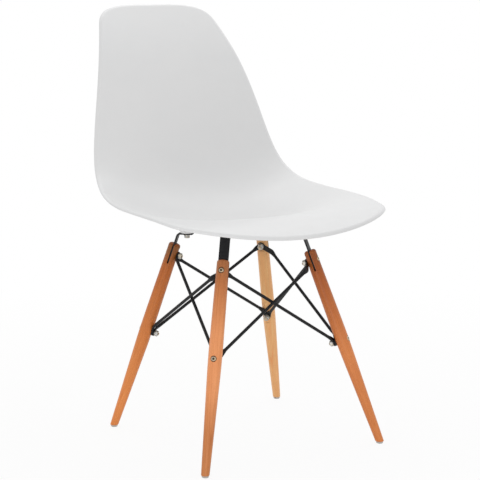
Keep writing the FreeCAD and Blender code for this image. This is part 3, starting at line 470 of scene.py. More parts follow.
def finish_piece(thing, material, nodes, sharp=32.0):
    """Shade a piece, give it its material, let it ride on the chair and stand for its construction nodes."""
    mesh = thing.data
    mesh.polygons.foreach_set("use_smooth", np.ones(len(mesh.polygons), bool))
    mesh.set_sharp_from_angle(angle=math.radians(sharp))
    mesh.materials.clear()
    mesh.materials.append(material)
    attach(thing, "root")
    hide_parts(*nodes)
    return thing


# Where the legs stand
class Leg:
    """Directions of one leg: across points outward, tangent beside it and up along it, from its top."""

    def __init__(self, name):
        self.name = name
        end, hand = name.split("_")
        self.splay = math.radians(SPLAY[end])
        turn = math.radians(TURN[end])
        side = -1.0 if hand == "right" else 1.0
        ahead = -1.0 if end == "front" else 1.0
        self.outward = np.array([side * math.sin(turn), ahead * math.cos(turn), 0.0])
        low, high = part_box("foot_glide_" + name)
        middle = (np.array(low) + np.array(high)) / 2 / MM
        self.foot = np.array([middle[0], middle[1], GLIDE_HEIGHT])
        lift = np.array([0.0, 0.0, 1.0])
        self.across = self.outward * math.cos(self.splay) + lift * math.sin(self.splay)
        self.up = lift * math.cos(self.splay) - self.outward * math.sin(self.splay)
        self.tangent = np.cross(self.up, self.across)
        self.top = self.foot + self.up * LEG_LENGTH
        self.rise = STRIP_RISE[end]
        self.mount_height = self.top[2] + self.rise * math.cos(self.splay)
        self.axes = np.array([self.across, self.tangent, self.up])

    def point(self, across, tangent, up):
        """A point given in the leg's own directions."""
        return self.top + self.across * across + self.tangent * tangent + self.up * up

    def seat_bolt(self):
        """Where the seat bolt meets the mounting face."""
        spot = self.point(0, 0, self.rise) - self.outward * FLANGE_BOLT
        return np.array([spot[0], spot[1], self.mount_height])


LEGS = [Leg(name) for name in CORNERS]


def leg_radius(drop):
    """Radius of the leg above its thickest place."""
    return (LEG_TOP + (LEG_BELLY - LEG_TOP) * drop / LOWER_DROP) / 2


def bolt_face(drop):
    """Leg's axis to the flat on its inner side."""
    return leg_radius(drop) - FLAT_DEPTH


# The shell's surface
centre_curve = natural_spline([(s, REACH * y, RISE * z) for s, y, z in CENTRE_LINE])
width_curve = natural_spline([(s, WIDTH / 2 * share) for s, share in HALF_WIDTH])
dish_curve = natural_spline([(s, DEPTH * share) for s, share in DISH])
LIP_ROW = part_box("seat_shell")[0].y / MM
SEAT_LOW = LEGS[-1].mount_height + SEAT_OVER_MOUNT


def shell_frame(station, share):
    """The sitter's side of the shell, and its normal towards the sitter.

    Point = centre line + share * half width along X + dish * share^2 along the centre line's
    normal. Its normal is the cross product of the slopes along the share and the station.
    """
    station, share = np.broadcast_arrays(np.asarray(station, float), np.asarray(share, float))
    spot, slope = centre_curve(station)
    width, width_slope = width_curve(station)
    dish, dish_slope = dish_curve(station)
    share = share[..., None]
    pace = np.linalg.norm(slope, axis=-1, keepdims=True)
    run = np.concatenate([np.zeros_like(pace), slope], -1)
    lean = np.concatenate([np.zeros_like(pace), -slope[..., 1:], slope[..., :1]], -1) / pace
    sideways = np.array([1.0, 0.0, 0.0])
    origin = np.concatenate([np.zeros_like(pace), spot + [LIP_ROW, SEAT_LOW]], -1)
    point = origin + sideways * (share * width) + lean * (dish * share ** 2)
    across = sideways * width + lean * (2 * dish * share)
    along = run + lean * (dish_slope * share ** 2) + sideways * (share * width_slope)
    normal = unit(np.cross(across, along))
    return point, normal


def shell_point(station, share, depth=0.0):
    """A point of the shell, or one that lies under it by a depth along its normal."""
    point, normal = shell_frame(station, share)
    return point - normal * depth


def evenly(path, count):
    """Places evenly spaced in real length along a path of stations and shares."""
    lengths = lengths_along(shell_point(path[:, 0], path[:, 1]))
    return at_lengths(path, lengths, np.linspace(0, lengths[-1], count))


def rounded_end(turn, length, fullness):
    """Half of an end of the outline, from the middle of the end to the side."""
    power = 2 / fullness
    return np.stack([length * (1 - np.cos(turn) ** power), np.sin(turn) ** power], -1)


def outline_sides(across, along):
    """The outline's four sides, as stations and shares: front, top, left and right.

    Each end is station = length (1 - cos^(2/n)), share = sin^(2/n) over a quarter turn, n being its
    fullness, and straight sides join them. The sides meet half way round the rounded corners.
    """
    count = 900
    turn = np.linspace(0, math.pi / 2, count)
    front = rounded_end(turn, *FRONT_END)
    top = rounded_end(turn, *TOP_END)
    top[:, 0] = 1 - top[:, 0]
    half = count // 2
    mirror = np.array([1.0, -1.0])
    straight = np.stack([np.linspace(FRONT_END[0], 1 - TOP_END[0], count), np.ones(count)], -1)
    front_side = np.concatenate([(front[:half + 1] * mirror)[::-1], front[1:half + 1]])
    top_side = np.concatenate([(top[:half + 1] * mirror)[::-1], top[1:half + 1]])
    right = np.concatenate([front[half:-1], straight, top[half:-1][::-1]])
    right = evenly(right, along)
    return evenly(front_side, across), evenly(top_side, across), right * mirror, right


def outward_edge(point, normal):
    """Outward directions along a closed loop on the shell: its own direction crossed with the normal,
    turned away from the loop's middle."""
    edge = unit(np.cross(np.roll(point, -1, 0) - np.roll(point, 1, 0), normal))
    return edge * np.sign(np.einsum("ij,ij->", edge, point - point.mean(0)))


def inset(loop, distance):
    """Move a closed loop of places inward over the surface by a real distance.

    The step in station and share is the least-squares answer to going that far against the
    loop's outward direction.
    """
    station, share = loop[:, 0], loop[:, 1]
    edge = outward_edge(*shell_frame(station, share))
    nudge = 1e-4
    by_station = (shell_point(station + nudge, share) - shell_point(station - nudge, share)) / (2 * nudge)
    by_share = (shell_point(station, share + nudge) - shell_point(station, share - nudge)) / (2 * nudge)
    ways = np.stack([by_station, by_share], -1)
    square = np.einsum("nki,nkj->nij", ways, ways)
    pull = -distance * np.einsum("nki,nk->ni", ways, edge)
    return loop + np.linalg.solve(square, pull[..., None])[..., 0]


def rim_section(wall, roll, turn):
    """The rolled rim in outward and upward distances from where it starts: an arc on top, half a
    circle round the edge and an arc back underneath."""
    angle = np.linspace(0, turn, ROLL_POINTS)
    upper = np.stack([roll * np.sin(angle), -roll * (1 - np.cos(angle))], -1)
    around = np.linspace(0, math.pi, EDGE_POINTS)[1:-1]
    way = np.array([math.sin(turn), math.cos(turn)])
    ahead = np.array([math.cos(turn), -math.sin(turn)])
    middle = upper[-1] - way * wall / 2
    edge = middle + wall / 2 * (np.cos(around)[:, None] * way + np.sin(around)[:, None] * ahead)
    back = angle[::-1]
    lower = np.stack([(roll - wall) * np.sin(back), -wall - (roll - wall) * (1 - np.cos(back))], -1)
    return np.concatenate([upper, edge, lower])


def inner_grid(reach):
    """Stations and shares inside the rim, across and along, blended from the four sides of the outline
    moved in by a reach: what opposite sides give, added both ways, less what the four corners give."""
    across, along = GRID_ACROSS, GRID_ALONG
    front, top, left, right = outline_sides(across, along)
    loop = np.concatenate([front[:-1], right[:-1], top[::-1][:-1], left[::-1][:-1]])
    loop = inset(loop, reach)
    marks = np.cumsum([0, across - 1, along - 1, across - 1])
    front = loop[marks[0]:marks[1] + 1]
    right = loop[marks[1]:marks[2] + 1]
    top = loop[marks[2]:marks[3] + 1][::-1]
    left = np.concatenate([loop[marks[3]:], loop[:1]])[::-1]
    u = np.linspace(0, 1, across)[:, None, None]
    v = np.linspace(0, 1, along)[None, :, None]
    sides = (1 - v) * front[:, None] + v * top[:, None] + (1 - u) * left[None] + u * right[None]
    front_corners = (1 - u) * (1 - v) * front[0] + u * (1 - v) * front[-1]
    return sides - (front_corners + (1 - u) * v * top[0] + u * v * top[-1])


def shell_skin(settings):
    """The whole wall: a grid over both sides inside the rim, and the rim's section carried round it."""
    section = rim_section(settings.wall, settings.roll, settings.roll_turn)
    places = inner_grid(section[:, 0].max())
    upper, normal = shell_frame(places[..., 0], places[..., 1])
    under = upper - normal * settings.wall
    total = GRID_ACROSS * GRID_ALONG
    numbers = np.arange(total).reshape(GRID_ACROSS, GRID_ALONG)
    border = [numbers[:-1, 0], numbers[-1, :-1], numbers[::-1, -1][:-1], numbers[0, ::-1][:-1]]
    border = np.concatenate(border)
    point = upper.reshape(-1, 3)[border]
    square = normal.reshape(-1, 3)[border]
    edge = outward_edge(point, square)
    middle = section[1:-1]
    rings = point + middle[:, 0, None, None] * edge + middle[:, 1, None, None] * square
    inside = 2 * total + np.arange(len(middle) * len(border)).reshape(len(middle), -1)
    rows = np.concatenate([border[None], inside, border[None] + total])
    after = np.roll(rows, -1, axis=1)
    rim = np.stack([rows[1:], after[1:], after[:-1], rows[:-1]], -1).reshape(-1, 4)
    grid = lattice(GRID_ACROSS, GRID_ALONG)
    points = np.concatenate([upper.reshape(-1, 3), under.reshape(-1, 3), rings.reshape(-1, 3)])
    return points, [grid, grid[:, ::-1] + total, rim]


def underside(x, y, wall):
    """Height of the shell's outer side over given places, by Newton's steps in station and share."""
    # The first guess is what the seat has: a station of about three quarters of the share of the reach
    station = np.clip((y - LIP_ROW) / REACH * 0.75, 0.02, 0.9)
    share = x / (WIDTH / 2)
    nudge = 1e-4
    steps = 14
    for _ in range(steps):
        here = shell_point(station, share, wall)
        by_station = (shell_point(station + nudge, share, wall) - here) / nudge
        by_share = (shell_point(station, share + nudge, wall) - here) / nudge
        miss_x, miss_y = x - here[..., 0], y - here[..., 1]
        area = by_station[..., 0] * by_share[..., 1] - by_share[..., 0] * by_station[..., 1]
        station = station + (miss_x * by_share[..., 1] - by_share[..., 0] * miss_y) / area
        share = share + (by_station[..., 0] * miss_y - by_station[..., 1] * miss_x) / area
    return shell_point(station, share, wall)[..., 2]


def boss(leg, settings):
    """A mounting boss: a blind hole, a flat face with eased edges, a wall, and a fillet that meets
    the shell's underside all round. Its rings run from the hole's end, out, up and into the wall."""
    base = leg.seat_bolt()
    radius = settings.boss / 2
    hole, hole_end = INSERT_WIDTH / 2, INSERT_LENGTH + INSERT_GAP
    pole, least_wall = 0.4, BOSS_WALL_START + 0.3
    angle = circle(BOSS_AROUND)
    fixed = eased([
        (pole, hole_end, 0), (hole, hole_end, 0), (hole, HOLE_BEVEL, 0), (hole + HOLE_BEVEL, 0, 0),
        (radius, 0, BOSS_FACE_ROUND), (radius, BOSS_WALL_START, 0),
    ])
    radii = np.broadcast_to(fixed[:, :1], (len(fixed), len(angle)))
    heights = np.broadcast_to(fixed[:, 1:], radii.shape)
    flare = radius + BOSS_BLEND
    reach_x, reach_y = np.cos(angle), np.sin(angle)
    roof = underside(base[0] + flare * reach_x, base[1] + flare * reach_y, settings.wall) - base[2]
    turn = np.linspace(0, math.pi / 2, 7)[:, None]
    wall_top = np.maximum(roof - BOSS_BLEND, least_wall)
    fillet_heights = wall_top + (roof - wall_top) * np.sin(turn)
    fillet_radii = np.broadcast_to(radius + BOSS_BLEND * (1 - np.cos(turn)), fillet_heights.shape)
    deep = roof[None] + settings.wall / 2
    cap = radius * 0.4
    radii = np.concatenate([radii, fillet_radii, np.full_like(deep, flare), np.full_like(deep, cap)])
    heights = np.concatenate([heights, fillet_heights, deep, np.full_like(deep, deep.mean())])
    rings = np.stack([radii * reach_x, radii * reach_y, heights], -1)
    return tube(rings + base)


def rib(leg, settings, turn):
    """A rib beside a boss: a wall with a rounded lower edge that climbs outward, its top in the shell's
    wall. Its section holds distances beside the middle and shares of the height."""
    base = leg.seat_bolt()
    radius = settings.boss / 2
    inside_boss, least_height = 2.0, 0.6
    way = np.array([math.cos(turn), math.sin(turn)])
    beside = np.array([-way[1], way[0]])
    out = np.linspace(radius - inside_boss, RIB_REACH, 12)
    level = RIB_STEP + RIB_RUN * np.clip((out - radius) / (RIB_REACH - radius), 0, 1)
    spots = base[:2] + out[:, None] * way
    roof = underside(spots[:, 0], spots[:, 1], settings.wall) - base[2]
    top = roof + settings.wall / 2
    low = np.minimum(level, top - least_height)
    edge_round = 0.28
    section = eased([(-RIB_HALF_WALL, 1, 0), (-RIB_HALF_EDGE, 0, edge_round), (RIB_HALF_EDGE, 0, edge_round),
                     (RIB_HALF_WALL, 1, 0)], 4)
    across = section[:, 0]
    share = np.clip(section[:, 1], 0, 1)
    heights = low[:, None] + (top - low)[:, None] * share[None]
    flat = spots[:, None] + across[None, :, None] * beside
    return tube(np.concatenate([flat, (heights + base[2])[..., None]], -1))


# Legs
def leg_blank(leg):
    """A turned leg in its own directions: a rounded top, two tapers with a soft turn between them, and a
    foot cut level. Towards the foot the rings tilt until height = -length - across * tan(splay)."""
    upper_taper = (LEG_BELLY - LEG_TOP) / 2 / LOWER_DROP
    lower_taper = (LEG_BELLY - LEG_FOOT) / 2 / (LEG_LENGTH - LOWER_DROP)
    foot = LEG_FOOT / 2
    pole = 0.3
    round_steps = 16
    line = eased([
        (pole, 0.0, 0), (LEG_TOP / 2, 0.0, LEG_TOP_ROUND),
        (LEG_BELLY / 2, -LOWER_DROP, BELLY_BLEND / ((upper_taper + lower_taper) / 2)),
        (foot, -LEG_LENGTH, 0),
    ], round_steps)
    lengths = lengths_along(line)
    wanted = np.unique(np.concatenate([lengths, np.linspace(lengths[round_steps], lengths[-1], 120)]))
    line = at_lengths(line, lengths, wanted)
    # A small eased edge and the face of the foot
    line = np.concatenate([line[:-1], [
        [foot, -LEG_LENGTH + 0.7], [foot - 0.2, -LEG_LENGTH + 0.2], [foot - 0.7, -LEG_LENGTH],
        [foot * 0.5, -LEG_LENGTH], [pole, -LEG_LENGTH],
    ]])
    angle = circle(96)
    radius, height = line[:, 0, None], line[:, 1, None]
    tilt = smooth((-height - LEG_LENGTH + FOOT_TILT) / FOOT_TILT) * math.tan(leg.splay)
    return tube(rings_about_z(radius, angle, height - radius * np.cos(angle) * tilt))


def leg_cuts(leg):
    """What is cut from a leg: the slot, and at each bolt a hole, a counterbore outside and a flat inside."""
    half = STRIP_WALL / 2 + SLOT_CLEARANCE
    cuts = [block((-half, -FAR, -SLOT_DEPTH), (half, FAR, HOLE_REACH))]
    for level, drop in (("upper", UPPER_DROP), ("lower", LOWER_DROP)):
        cuts.append(rod(BOLT_HOLE / 2, -FAR, FAR, drop))
        cuts.append(rod(HEAD_WIDTH / 2 + HEAD_CLEARANCE, leg_radius(drop) - HEAD_SINK, FAR, drop))
        reach = FLAT_REACH[level]
        cuts.append(block((-FAR, -FAR, -drop - reach), (-bolt_face(drop), FAR, -drop + reach)))
    return [("DIFFERENCE", moved(cut, leg.axes, leg.top)) for cut in cuts]


# Wires and strips
def place_along(line, distances):
    """Points and directions at given distances along a line of points."""
    look = 0.4
    lengths = lengths_along(line)
    ahead = at_lengths(line, lengths, np.minimum(distances + look, lengths[-1]))
    behind = at_lengths(line, lengths, np.maximum(distances - look, 0))
    return at_lengths(line, lengths, distances), unit(ahead - behind)


def closer_at_ends(near, start, total, count):
    """Distances from 0 to a total: the near ones at both ends, and evenly spaced ones between them."""
    return np.concatenate([near, np.linspace(start, total - start, count)[1:-1], (total - near)[::-1]])


def blade_depth(drop, layer):
    """Leg's axis to the middle of a brace's flat end that lies in a layer on the inner flat."""
    return bolt_face(drop) + (layer + 0.5) * BLADE_WALL


def arm_line(start, finish):
    """An arm's middle line, from the far side of one eye to that of the other and eased at both bends,
    with the directions of its two tabs, towards the wire, and that of the wire."""
    middles = [leg.point(-blade_depth(drop, layer), 0, -drop) for leg, drop, layer, _ in (start, finish)]
    chord = middles[1] - middles[0]
    tips, bends, ways = [], [], []
    for (leg, _, _, tab), middle, aim in zip((start, finish), middles, (chord, -chord)):
        along = unit(aim - leg.across * (aim @ leg.across))
        tips.append(middle - along * EYE_RADIUS)
        bends.append(middle + along * tab)
        ways.append(along)
    corners = [(*tips[0], 0), (*bends[0], ARM_BEND), (*bends[1], ARM_BEND), (*tips[1], 0)]
    return eased(corners, 10), ways, unit(bends[1] - bends[0])


def arm_section(away, tab):
    """Width, depth and fullness of an arm at distances d from its tip. The width is the chord of the eye,
    2 sqrt(r^2 - (r - d)^2), then the blade's, and over the flare all turn into the wire's circle."""
    eye = np.sqrt(np.maximum(EYE_RADIUS ** 2 - (EYE_RADIUS - away) ** 2, 0.01))
    neck = smooth((away - EYE_RADIUS) / (EYE_RADIUS * 0.9))
    blade = np.where(away < EYE_RADIUS, eye, EYE_RADIUS + (BLADE_WIDTH / 2 - EYE_RADIUS) * neck)
    flare = smooth((away - EYE_RADIUS - tab + FLARE_LEAD) / FLARE)
    width = 2 * (blade + (WIRE / 2 - blade) * flare)
    depth = BLADE_WALL + (WIRE - BLADE_WALL) * flare
    return width, depth, FLAT_FULLNESS - (FLAT_FULLNESS - ROUND_FULLNESS) * flare


def arm(start, finish):
    """One arm of a brace: a flat eye, a tab and round wire between two legs. start and finish are a leg,
    a drop, a layer and a tab. Its width turns slowly from the one leg's flat to the other's."""
    line, ways, run = arm_line(start, finish)
    total = np.linalg.norm(np.diff(line, axis=0), axis=1).sum()
    near = np.concatenate([[0.02, 0.15, 0.4, 0.8, 1.3], np.arange(2.0, ARM_END, 1.0)])
    distances = closer_at_ends(near, ARM_END, total, ARM_RINGS)
    spots, ahead = place_along(line, distances)
    width = np.full(len(distances), WIRE)
    depth = np.full(len(distances), WIRE)
    full = np.full(len(distances), ROUND_FULLNESS)
    wire_sides = [unit(np.cross(end[0].across, run)) for end in (start, finish)]
    wire_sides[1] *= np.sign(wire_sides[0] @ wire_sides[1])
    turned_share = smooth(distances / total)[:, None]
    side = wire_sides[0] * (1 - turned_share) + wire_sides[1] * turned_share
    ends = zip((start, finish), (distances, total - distances), ways, wire_sides)
    for (leg, _, _, tab), from_tip, along, wire_side in ends:
        here = from_tip < ARM_END + 2.0
        away = from_tip[here]
        width[here], depth[here], full[here] = arm_section(away, tab)
        tab_side = unit(np.cross(leg.across, along))
        tab_side *= np.sign(tab_side @ wire_side)
        twisted = smooth((away - EYE_RADIUS - tab + TWIST_LEAD) / TWIST)[:, None]
        side[here] = tab_side * (1 - twisted) + side[here] * twisted
    side = unit(side - ahead * np.einsum("ij,ij->i", side, ahead)[:, None])
    return tube(oval_rings(spots, side, np.cross(ahead, side), width, depth, full, 40))


def strip_path(leg):
    """The bracket's middle line in the leg's own directions: the bottom in the slot, the corner of the
    bend and the end of the flange, which lies half a wall under the mounting face."""
    level = np.array([-math.cos(leg.splay), 0.0, math.sin(leg.splay)])
    lift = np.array([math.sin(leg.splay), 0.0, math.cos(leg.splay)])
    flange = np.array([0.0, 0.0, leg.rise]) - lift * (STRIP_WALL / 2)
    corner = flange + level * (flange[0] / math.cos(leg.splay))
    bottom = np.array([0.0, 0.0, -(SLOT_DEPTH - STRIP_END_GAP)])
    end = np.array([0.0, 0.0, leg.rise]) + level * FLANGE_LENGTH - lift * (STRIP_WALL / 2)
    return bottom, corner, end


def strip(leg):
    """A bracket: a rounded rectangle carried along its bent line. Over the corners' radius r its width
    narrows by 2 (r - sqrt(r^2 - (r - d)^2)), d being the distance from the end."""
    bottom, corner, end = strip_path(leg)
    line = eased([(*bottom, 0), (*corner, STRIP_BEND + STRIP_WALL / 2), (*end, 0)], 14)
    total = np.linalg.norm(np.diff(line, axis=0), axis=1).sum()
    near = np.array([0.02, 0.12, 0.3, 0.6, 1.0, 1.5, 2.1, STRIP_CORNER])
    distances = closer_at_ends(near, STRIP_CORNER, total, 90)
    spots, ahead = place_along(line, distances)
    side = np.broadcast_to(np.array([0.0, 1.0, 0.0]), spots.shape)
    edge = np.minimum(np.minimum(distances, total - distances), STRIP_CORNER)
    chord = np.sqrt(np.maximum(STRIP_CORNER ** 2 - (STRIP_CORNER - edge) ** 2, 0.0))
    width = STRIP_WIDTH - 2 * (STRIP_CORNER - chord)
    depth = np.full(len(spots), STRIP_WALL)
    full = np.full(len(spots), 14.0)
    return tube(oval_rings(spots, side, np.cross(ahead, side), width, depth, full, 48))


# Fasteners, each along Z
def threaded(length, start):
    """Rings of a screw thread from a start down to a length. Radius = the bolt's less the thread's depth
    times a wave of height / pitch less angle. The wave fades in over a pitch, and a cone bevels the end."""
    end_bevel, flank, flat = 0.8, 1.25, 0.125
    angle = circle(THREAD_AROUND)
    count = int((length - start) * RINGS_PER_TURN / PITCH) + 1
    height = np.linspace(-start, -length, count)[:, None]
    phase = (height / PITCH - angle / (2 * math.pi)) % 1.0
    wave = np.clip(np.abs(phase - 0.5) * 2 * flank - flat, 0, 1)
    fade = smooth((-height - start) / PITCH)
    radius = BOLT / 2 - CREST_GAP - THREAD_DEPTH * wave * fade
    radius = np.minimum(radius, BOLT / 2 - end_bevel + (height + length))
    return rings_about_z(radius, angle, height)


def hexagon_rings(profile, around, bevel=math.inf, top=math.inf, bottom=-math.inf):
    """Rings of a profile of radius, height and a share of a hexagon, 0 being round.

    A hexagon's reach over its half size across flats is 1 / cos of the angle from a flat. Its rings
    are cut by cones at both ends: height = end -/+ tan 30 * (reach - bevel radius).
    """
    radius, height, share = np.array(profile, float).T[:, :, None]
    angle = circle(around)
    hexagon = 1 / np.cos((angle + math.pi / 6) % (math.pi / 3) - math.pi / 6)
    reach = radius * (1 + share * (hexagon - 1))
    fall = np.maximum(reach - bevel, 0) * math.tan(math.radians(30)) * share
    return rings_about_z(reach, angle, np.clip(height, bottom + fall, top - fall))


def button_bolt(length):
    """Button head with a hexagon socket, on Z = 0, and a shank below it with a thread at its end."""
    runout = 0.5
    half, tall = HEAD_WIDTH / 2, HEAD_HEIGHT
    shank = BOLT / 2 - CREST_GAP
    socket = [(0.3, 1.0, 0), (SOCKET, 1.35, 1), (SOCKET, 3.1, 1), (2.3, tall, 0.35)]
    dome = eased([
        (3.0, tall, 0), (3.3, tall, 0.4), (4.75, 2.35, 3.0), (half, 0.75, 0.6), (half, 0.0, 0.25),
        (3.3, 0.0, 0), (shank, -0.3, 0), (shank, -length + (THREADED + runout), 0),
    ], 5)
    rings = hexagon_rings(socket + [(*spot, 0) for spot in dome], THREAD_AROUND)
    return tube(np.concatenate([rings, threaded(length, length - THREADED)]))


def nut():
    """Hexagon nut on Z = 0, bevelled at both ends, with a countersunk bore."""
    half, bevel, bore = NUT_ACROSS / 2, NUT_ACROSS / 2 * HEX_BEVEL, BOLT / 2 + 0.05
    sink, sink_depth, face, dip = bore + 0.45, 0.6, bevel - 0.15, 0.03
    tall = NUT_HEIGHT
    profile = [
        (bore, sink_depth, 0), (bore, tall - sink_depth, 0), (sink, tall, 0), (face, tall, 0),
        (bevel, tall - dip, 0), (half, tall, 1), (half, tall * 0.5, 1), (half, 0, 1), (bevel, dip, 0),
        (face, 0, 0), (sink, 0, 0),
    ]
    return tube(hexagon_rings(profile, 96, bevel, tall, 0.0), closed=True)


def hex_bolt(length):
    """Hexagon-head bolt with its head below Z = 0 and its shank above."""
    half, bevel = NUT_ACROSS / 2, NUT_ACROSS / 2 * HEX_BEVEL
    face, dip, collar = bevel - 0.15, 0.03, 0.25
    profile = [
        (0.4, HEX_HEAD, 0), (face, HEX_HEAD, 0), (bevel, HEX_HEAD - dip, 0), (half, HEX_HEAD, 1),
        (half, HEX_HEAD * 0.5, 1), (half, collar, 1), (half - 0.35, collar, 0.4), (half - 0.4, 0, 0),
        (BOLT / 2 + 0.3, 0, 0),
    ]
    rings = hexagon_rings(profile, THREAD_AROUND, bevel, HEX_HEAD)
    points, faces = tube(np.concatenate([rings, threaded(length, 0.4)]))
    return points * [1, -1, -1], faces


def washer():
    """Flat ring on Z = 0 with eased edges."""
    outer, inner, wall = WASHER_WIDTH / 2, BOLT_HOLE / 2, WASHER_WALL
    middle = (outer + inner) / 2
    line = eased([
        (middle, 0, 0), (outer, 0, 0.25), (outer, wall, 0.35), (inner, wall, 0.3), (inner, 0, 0.2),
        (middle, 0, 0),
    ], 4)
    return turned(line[:-1], 64, closed=True)


def spring_washer():
    """A ring with a gap: a rounded square section carried round 348 degrees, climbing a little."""
    middle = SPRING_MIDDLE / 2
    half_gap = 6
    angle = np.linspace(math.radians(half_gap), math.radians(360 - half_gap), 90)
    share = (angle - angle[0]) / (angle[-1] - angle[0])
    path = rings_about_z(middle, angle, SPRING_WALL / 2 + (share - 0.5) * SPRING_CLIMB)
    side = rings_about_z(1.0, angle, 0.0)
    thick = np.broadcast_to(np.array([0.0, 0.0, 1.0]), path.shape)
    width = np.full(len(angle), SPRING_SECTION)
    depth = np.full(len(angle), SPRING_WALL - SPRING_CLIMB)
    full = np.full(len(angle), 7.0)
    return tube(oval_rings(path, side, thick, width, depth, full, 32))


def glide():
    """Foot glide turned about Z: a rounded floor edge, a sunk nail seat and a bore."""
    outer, seat, bore = GLIDE_WIDTH / 2, NAIL_SEAT / 2, NAIL_BORE / 2
    floor = 4.4
    line = eased([
        (floor, 0, 0), (outer, 0, 1.4), (outer, GLIDE_HEIGHT, 0.3), (bore, GLIDE_HEIGHT, 0),
        (bore, NAIL_SEAT_HEIGHT, 0), (seat, NAIL_SEAT_HEIGHT, 0.2), (seat, 0, 0.3), (floor, 0, 0),
    ], 6)
    return turned(line[:-1], 72, closed=True)


# Finishes
class Finish:
    """Shader nodes of one finish."""

    def __init__(self, name):
        self.material = bpy.data.materials.new(name)
        self.material.use_nodes = True
        self.tree = self.material.node_tree
        self.tree.nodes.clear()
        self.output = self.add("ShaderNodeOutputMaterial")
        self.shader = self.add("ShaderNodeBsdfPrincipled")
        self.join(self.shader, "BSDF", self.output, "Surface")

    def add(self, kind, **settings):
        """A node with the settings of its properties."""
        node = self.tree.nodes.new(kind)
        for name, value in settings.items():
            setattr(node, name, value)
        return node

    def feed(self, node, inputs):
        """Set inputs by name or number, or link those whose value is a socket."""
        for name, value in inputs.items():
            socket = node.inputs[name] if isinstance(name, int) else next(
                entry for entry in node.inputs if entry.name == name and entry.enabled)
            if isinstance(value, bpy.types.NodeSocket):
                self.tree.links.new(value, socket)
            else:
                socket.default_value = value

    def join(self, source, output, target, name):
        """Link an output of one node to an input of another."""
        self.tree.links.new(source.outputs[output], target.inputs[name])

    def maths(self, operation, first, second=0.0, clamp=False):
        """The socket of a sum, product or other operation on two values."""
        node = self.add("ShaderNodeMath", operation=operation, use_clamp=clamp)
        self.feed(node, {0: first, 1: second})
        return node.outputs[0]

    def vector(self, operation, first, second=(0, 0, 0)):
        """The socket of an operation on two vectors."""
        node = self.add("ShaderNodeVectorMath", operation=operation)
        self.feed(node, {0: first, 1: second})
        return node.outputs["Value" if operation in ("LENGTH", "DOT_PRODUCT") else "Vector"]

    def place(self, location=(0, 0, 0), rotation=(0, 0, 0)):
        """Object coordinates, measured from a place in turned directions."""
        coordinates = self.add("ShaderNodeTexCoord").outputs["Object"]
        node = self.add("ShaderNodeMapping", vector_type="TEXTURE")
        self.feed(node, {"Vector": coordinates, "Location": location, "Rotation": rotation})
        return node.outputs[0]

    def stretch(self, source, scale, shift=(0, 0, 0)):
        """Coordinates scaled differently each way."""
        node = self.add("ShaderNodeMapping", vector_type="POINT")
        self.feed(node, {"Vector": source, "Scale": scale, "Location": shift})
        return node.outputs[0]

    def noise(self, source, scale, detail, roughness=0.55, distortion=0.0):
        """The grey value of noise."""
        node = self.add("ShaderNodeTexNoise")
        self.feed(node, {"Vector": source, "Scale": scale, "Detail": detail, "Roughness": roughness,
                         "Distortion": distortion})
        return node.outputs[0]

    def span(self, value, low, high, to_low, to_high):
        """A value carried from one range to another and held inside it."""
        node = self.add("ShaderNodeMapRange")
        self.feed(node, {"Value": value, "From Min": low, "From Max": high, "To Min": to_low,
                         "To Max": to_high})
        return node.outputs[0]

    def blend(self, share, first, second, kind="MIX"):
        """Two colours mixed by a share."""
        node = self.add("ShaderNodeMix", data_type="RGBA", blend_type=kind)
        self.feed(node, {0: share})
        for index, colour in ((6, first), (7, second)):
            self.feed(node, {index: colour if isinstance(colour, bpy.types.NodeSocket) else (*colour, 1.0)})
        return node.outputs[2]

    def bump(self, height, strength, distance, under=None):
        """A bump from a height, over another bump where one is given."""
        node = self.add("ShaderNodeBump")
        self.feed(node, {"Height": height, "Strength": strength, "Distance": distance})
        if under is not None:
            self.feed(node, {"Normal": under})
        return node.outputs[0]

    def hollow_shade(self, reach, low, high):
        """Share of painted shade: 1 in places that walls close by shade, such as sockets, bores and slots,
        and 0 in the open.
        """
        node = self.add("ShaderNodeAmbientOcclusion", samples=8, only_local=True)
        self.feed(node, {"Distance": reach})
        return self.span(node.outputs["AO"], low, high, 1.0, 0.0)

    def set(self, **settings):
        """Inputs of the shader."""
        self.feed(self.shader, {name.replace("_", " "): value for name, value in settings.items()})
        return self.material


def grey(value):
    """A grey colour."""
    return (value, value, value)


def tinted(colour, tint):
    """A colour times a tint, no channel over white."""
    return tuple(min(channel * share, 1.0) for channel, share in zip(colour, tint))


def shell_finish(settings):
    """Moulded polypropylene: a fine spark-eroded grain, faint flow marks in its sheen and hardly any in
    its colour."""
    finish = Finish("moulded_plastic")
    place = finish.place()
    flow = finish.noise(finish.stretch(place, (3.0, 5.0, 5.0)), 1.6, 3.0, 0.5, 0.6)
    mottle = finish.noise(place, 34.0, 4.0, 0.6)
    grain = finish.noise(place, 2600.0, 2.0, 0.55)
    pores = finish.noise(place, 900.0, 3.0, 0.6)
    tone = finish.span(flow, 0.3, 0.7, 0.0, 1.0)
    base = tuple(settings.colour)
    cool = tinted(base, (0.976, 0.98, 0.984))
    colour = finish.blend(tone, cool, base)
    colour = finish.blend(finish.span(mottle, 0.35, 0.75, 0.0, 0.05), colour, tinted(base, grey(0.86)))
    rough = finish.span(mottle, 0.3, 0.7, settings.roughness - 0.035, settings.roughness + 0.05)
    rough = finish.maths("ADD", rough, finish.span(flow, 0.3, 0.7, -0.02, 0.03))
    normal = finish.bump(pores, 0.10, 0.00006)
    normal = finish.bump(grain, 0.16, 0.00004, normal)
    return finish.set(Base_Color=colour, Roughness=rough, Normal=normal, IOR=1.49)


